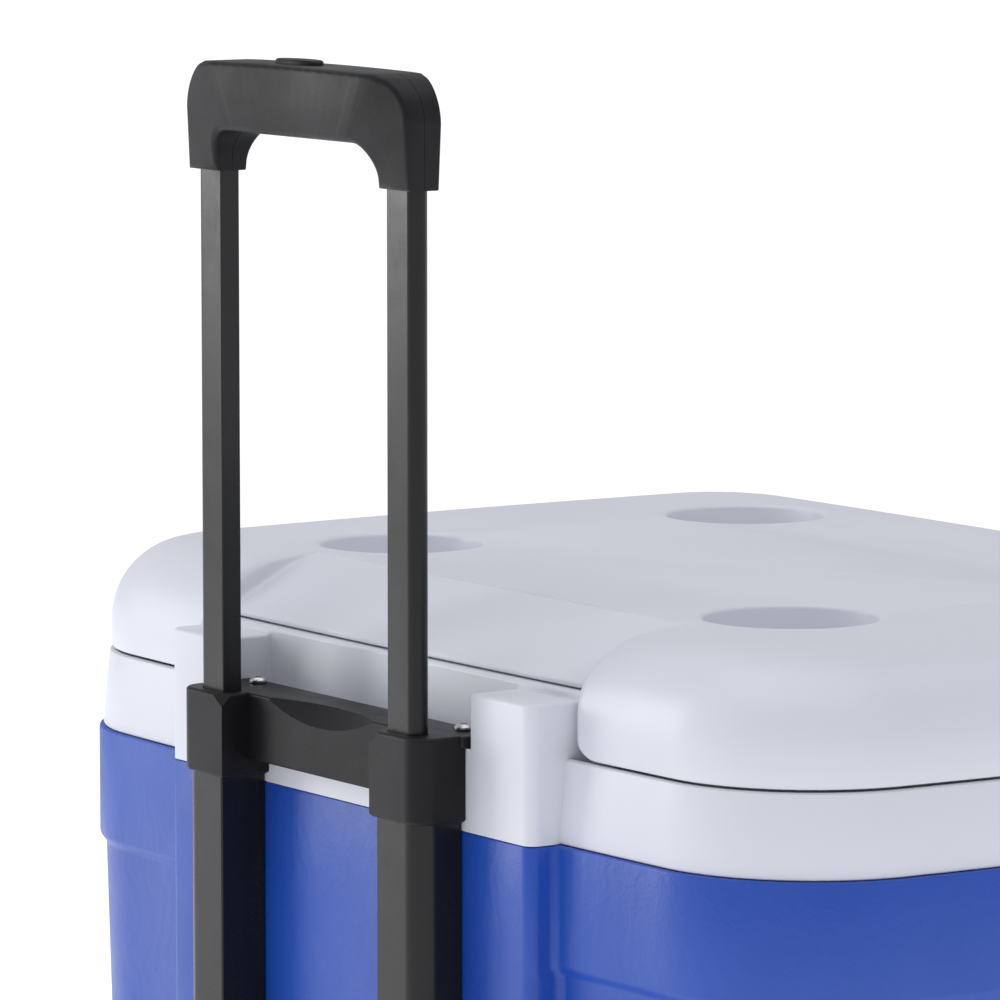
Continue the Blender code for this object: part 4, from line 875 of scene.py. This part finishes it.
def crossScrew(name, node, body, centre, axis, radius, height, shank, length):
    profile = [(0.0, -length), (shank * 0.5, -length), (shank, -length + 0.001), (shank, 0.0),
               (radius * 0.97, 0.0), (radius, 0.0003), (radius * 0.98, height * 0.45),
               (radius * 0.80, height * 0.80), (radius * 0.5, height * 0.97), (0.0, height)]
    piece = newPiece(name, turned(profile, centre, axis, 40), zincSteel, 40)
    reach = radius * 0.55
    arms = []
    for turn in (0, 90):
        arm = block((-reach, -radius * 0.11, -height * 0.65), (reach, radius * 0.11, height), 0.0001, 1)
        bmesh.ops.translate(arm, vec=(0, 0, height * 0.85), verts=arm.verts)
        bmesh.ops.rotate(arm, verts=arm.verts, cent=(0, 0, 0),
                         matrix=Matrix.Rotation(math.radians(turn + 20), 3, "Z"))
        if axis == "-Y":
            bmesh.ops.rotate(arm, verts=arm.verts, cent=(0, 0, 0),
                             matrix=Matrix.Rotation(math.pi / 2, 3, "X"))
        bmesh.ops.translate(arm, vec=centre, verts=arm.verts)
        arms.append(tool(arm, "crossArm"))
    carve(piece, *arms)
    return settle(piece, body, "zinc_steel", node)


for tag in ("left", "right"):
    low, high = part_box(f"bracket_screw_{tag}")
    middle = (low + high) / 2
    crossScrew(f"ear_screw_{tag}", f"bracket_screw_{tag}", "cooler_body",
               (middle.x, middle.y, high.z - 0.0026), "Z", 0.0040, 0.0026, 0.0018, 0.0166)
    low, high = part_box(f"lower_screw_{tag}")
    middle = (low + high) / 2
    crossScrew(f"foot_screw_{tag}", f"lower_screw_{tag}", "cooler_body",
               (middle.x, low.y + 0.0030, middle.z), "-Y", 0.0050, 0.0030, 0.0024, 0.0170)

# wheels with spokes, ribbed tyres, washers and caps
print("wheels")
wheel = {"rim": 0.053, "rimWall": 0.0060, "hub": 0.0155, "bore": 0.0064, "spokes": 5, "width": 0.032,
         "gapDepth": 0.0105, "fan": 24, "ribPitch": 0.0058}
for side, tag in ((-1, "left"), (1, "right")):
    low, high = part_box(f"tyre_{tag}")
    centre = (low + high) / 2
    halfWide = (high.x - low.x) / 2
    rim, wide = wheel["rim"], wheel["width"] / 2
    ring = [(wheel["bore"], -wide), (wheel["hub"], -wide), (wheel["hub"] + 0.001, -wide + 0.002),
            (rim - wheel["rimWall"] - 0.001, -wide + 0.002), (rim - wheel["rimWall"], -wide),
            (rim - 0.001, -wide), (rim, -wide + 0.001), (rim, wide - 0.001), (rim - 0.001, wide),
            (rim - wheel["rimWall"], wide), (rim - wheel["rimWall"] - 0.001, wide - 0.0022),
            (wheel["hub"] + 0.0015, wide - 0.0022), (wheel["hub"], wide - 0.0006),
            (wheel["hub"] - 0.0006, wide), (wheel["bore"], wide), (wheel["bore"], -wide)]
    spun = newPiece(f"spoked_wheel_{tag}", turned(ring, centre, "X", 80), blackPlastic, 35)
    gaps = []
    inner, outer = wheel["hub"] + 0.0035, rim - wheel["rimWall"] - 0.0025
    face = centre.x + side * wide
    for i in range(wheel["spokes"]):
        fan = math.radians(wheel["fan"])
        points = [(inner, -fan * 0.55), (outer, -fan), (outer, fan), (inner, fan * 0.55)]
        gapPlan = flatPlan([(r * math.cos(a), r * math.sin(a)) for r, a in points])
        longest = [e for e in gapPlan.edges if e.calc_length() > 0.02]
        bmesh.ops.subdivide_edges(gapPlan, edges=longest, cuts=3)
        for vert in gapPlan.verts:
            if vert.co.length > outer - 0.004 and abs(vert.co.y) < outer * math.sin(fan) * 0.9:
                vert.co = vert.co.normalized() * outer
        pushUp(gapPlan, -wheel["gapDepth"], 0.004)
        bmesh.ops.rotate(gapPlan, verts=gapPlan.verts, cent=(0, 0, 0),
                         matrix=Matrix.Rotation(side * math.pi / 2, 3, "Y"))
        bmesh.ops.rotate(gapPlan, verts=gapPlan.verts, cent=(0, 0, 0),
                         matrix=Matrix.Rotation(2 * math.pi * (i + 0.25) / wheel["spokes"], 3, "X"))
        bmesh.ops.translate(gapPlan, vec=(face, centre.y, centre.z), verts=gapPlan.verts)
        gaps.append(tool(gapPlan, "spokeGap"))
    carve(spun, *gaps)
    soften(spun, 0.0007, 2)
    settle(spun, f"wheel_{tag}", "black_plastic", f"wheel_{tag}")

    radius = (high.z - low.z) / 2
    tread = [(rim + 0.0006, -halfWide + 0.002), (rim + 0.0014, -halfWide + 0.0006),
             (rim + 0.0030, -halfWide), (radius - 0.0040, -halfWide), (radius - 0.0018, -halfWide + 0.0010),
             (radius - 0.0006, -halfWide + 0.0028)]
    ribs = []
    for i in range(-2, 3):
        at = i * wheel["ribPitch"]
        ribs += [(radius - 0.0002, at - 0.0021), (radius, at - 0.0015), (radius, at + 0.0015),
                 (radius - 0.0002, at + 0.0021), (radius - 0.0014, at + 0.0025)]
        if i < 2:
            ribs.append((radius - 0.0014, at + 0.0033))
    mirrored = [(r, -x) for r, x in reversed(tread)]
    tyre = newPiece(f"tread_tyre_{tag}", turned(tread + ribs[:-1] + mirrored + tread[:1], centre, "X", 96),
                    treadRubber, 30)
    settle(tyre, f"wheel_{tag}", "tread_rubber", f"tyre_{tag}")

    low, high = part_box(f"wheel_cap_{tag}")
    middle = (low + high) / 2
    half = (high.x - low.x) / 2
    cap = [(0.0, half - 0.0003), (0.0045, half - 0.0003), (0.0056, half), (0.0105, half),
           (0.0128, half - 0.0010), (0.0138, half - 0.0026), (0.0140, -half), (0.0065, -half),
           (0.0065, half - 0.0030), (0.0, half - 0.0030)]
    built = turned(cap, middle, "X" if side > 0 else "-X", 56)
    capPiece = newPiece(f"hub_cap_{tag}", built, blackPlastic, 35)
    settle(capPiece, "cooler_body", "black_plastic", f"wheel_cap_{tag}")
    low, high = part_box(f"wheel_washer_{tag}")
    thick = (high.x - low.x) / 2
    plain = [(0.0063, -thick), (0.0117, -thick), (0.0120, -thick + 0.0002), (0.0120, thick - 0.0003),
             (0.0117, thick), (0.0063, thick), (0.0063, -thick)]
    plain = newPiece(f"flat_washer_{tag}", turned(plain, (low + high) / 2, "X", 48), zincSteel, 35)
    settle(plain, "cooler_body", "zinc_steel", f"wheel_washer_{tag}")

    # ribbed rubber foot
    low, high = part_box(f"foot_{tag}")
    pad = newPiece(f"rubber_foot_{tag}", block(low, high, 0.004, 5), treadRubber, 35)
    grooves = []
    for i in (-1, 0, 1):
        y = (low.y + high.y) / 2 + i * 0.008
        grooves.append(tool(block((low.x - 0.01, y - 0.0011, low.z - 0.01),
                                  (high.x + 0.01, y + 0.0011, low.z + 0.0014)), "groove"))
    carve(pad, *grooves)
    settle(pad, "cooler_body", "tread_rubber", f"foot_{tag}")

    # hinge leaves, hinge pin and the rod's guide
    dressed(f"wall_leaf_{tag}", f"hinge_leaf_{tag}", "cooler_body", "white_plastic", whiteShell, 0.0005)
    dressed(f"lid_side_leaf_{tag}", f"lid_leaf_{tag}", "lid", "white_plastic", whiteShell, 0.0005)
    low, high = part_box(f"hinge_pin_{tag}")
    half = (high.x - low.x) / 2
    pin = [(0.0, -half), (0.0020, -half), (0.0025, -half + 0.0006), (0.0025, half - 0.0006),
           (0.0020, half), (0.0, half)]
    pin = newPiece(f"hinge_rod_{tag}", turned(pin, (low + high) / 2, "X", 32), zincSteel, 35)
    settle(pin, "cooler_body", "zinc_steel", f"hinge_pin_{tag}")
    dressed(f"slide_guide_{tag}", f"rod_guide_{tag}", "handle", "black_plastic", blackPlastic, 0.0003, 2)

print("liner and drain")
dressed("cold_liner", "inner_liner", "cooler_body", "liner_plastic", linerPlastic, 0.0012, 3)
dressed("lid_pan", "lid_liner", "lid", "liner_plastic", linerPlastic, 0.0009, 3)
dressed("lid_seal", "lid_gasket", "lid", "seal_rubber", sealRubber, 0.0007, 3)
dressed("wheel_beam", "axle_beam", "cooler_body", "black_plastic", blackPlastic, 0.0010, 3)
dressed("drain_tube", "drain_spout", "cooler_body", "black_plastic", blackPlastic, 0.0004, 2)
dressed("drain_stopper", "drain_plug", "drain_plug", "black_plastic", blackPlastic, 0.0004, 2)
dressed("drain_seal", "drain_washer", "cooler_body", "seal_rubber", sealRubber, 0.0003, 2)

# the lid's filling is kept a little under the slope of the notch
filling = copyOf("lid_foam")
for vert in filling.verts:
    if vert.co.z > lidLow.z + 0.022 and vert.co.y < rodLine + 0.125 and abs(vert.co.x) < 0.185:
        vert.co.z -= 0.013
settle(newPiece("lid_filling", filling, poredFoam, 35), "lid", "foam", "lid_foam")

# finishes for the nodes that stay

keptLooks = {"blue_plastic": blueBody, "white_plastic": whiteShell, "liner_plastic": linerPlastic,
             "foam": poredFoam, "black_plastic": blackPlastic, "black_metal": rodMetal,
             "zinc_steel": zincSteel, "tread_rubber": treadRubber, "seal_rubber": sealRubber}
for name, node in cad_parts.items():
    for held in node.material_slots:
        slotName = held.material.name.split(".")[0]
        if slotName in keptLooks:
            held.material = keptLooks[slotName]


# floor, light and camera

print("stage")
floor = {"size": 90.0, "tint": (0.93, 0.93, 0.94), "glow": 0.60}
built = bmesh.new()
bmesh.ops.create_grid(built, x_segments=2, y_segments=2, size=floor["size"] / 2)
made, nodes, links, shader, spot = startFinish("paleFloor")
shader.inputs["Base Color"].default_value = (*floor["tint"], 1)
shader.inputs["Emission Color"].default_value = (1, 1, 1, 1)
shader.inputs["Emission Strength"].default_value = floor["glow"]
links.new(spread(nodes, links, noiseOn(nodes, links, spot, 3), 0.75, 0.85), shader.inputs["Roughness"])
floorPiece = newPiece("floor", built, made)

world = bpy.data.worlds.new("studio")
bpy.context.scene.world = world
world.use_nodes = True
background = world.node_tree.nodes["Background"]
background.inputs["Color"].default_value = (0.94, 0.96, 1.0, 1)
background.inputs["Strength"].default_value = 0.55


def softLight(name, place, aim, size, power, tint=(1, 1, 1)):
    data = bpy.data.lights.new(name, "AREA")
    data.shape = "RECTANGLE"
    data.size, data.size_y = size
    data.energy = power
    data.color = tint
    made = bpy.data.objects.new(name, data)
    bpy.context.scene.collection.objects.link(made)
    made.location = place
    made.rotation_euler = (Vector(aim) - Vector(place)).to_track_quat("-Z", "Y").to_euler()
    return made


softLight("overhead", (0.2, -0.2, 2.6), (0, 0, 0.3), (2.6, 2.6), 24)
softLight("handleSide", (-2.4, -2.0, 1.1), (0, 0, 0.45), (0.9, 1.6), 24)

camera = bpy.data.cameras.new("camera")
camera.sensor_width = 36
camera.lens = 236.5
camera.clip_end = 200
view = bpy.data.objects.new("camera", camera)
bpy.context.scene.collection.objects.link(view)
view.location = (2.3606, rodLine - 1.4903, lidTop + 0.3768)
view.rotation_euler = (math.pi / 2 - 0.1187, 0, 0.9789)
bpy.context.scene.camera = view
bpy.context.scene.view_settings.view_transform = "Standard"
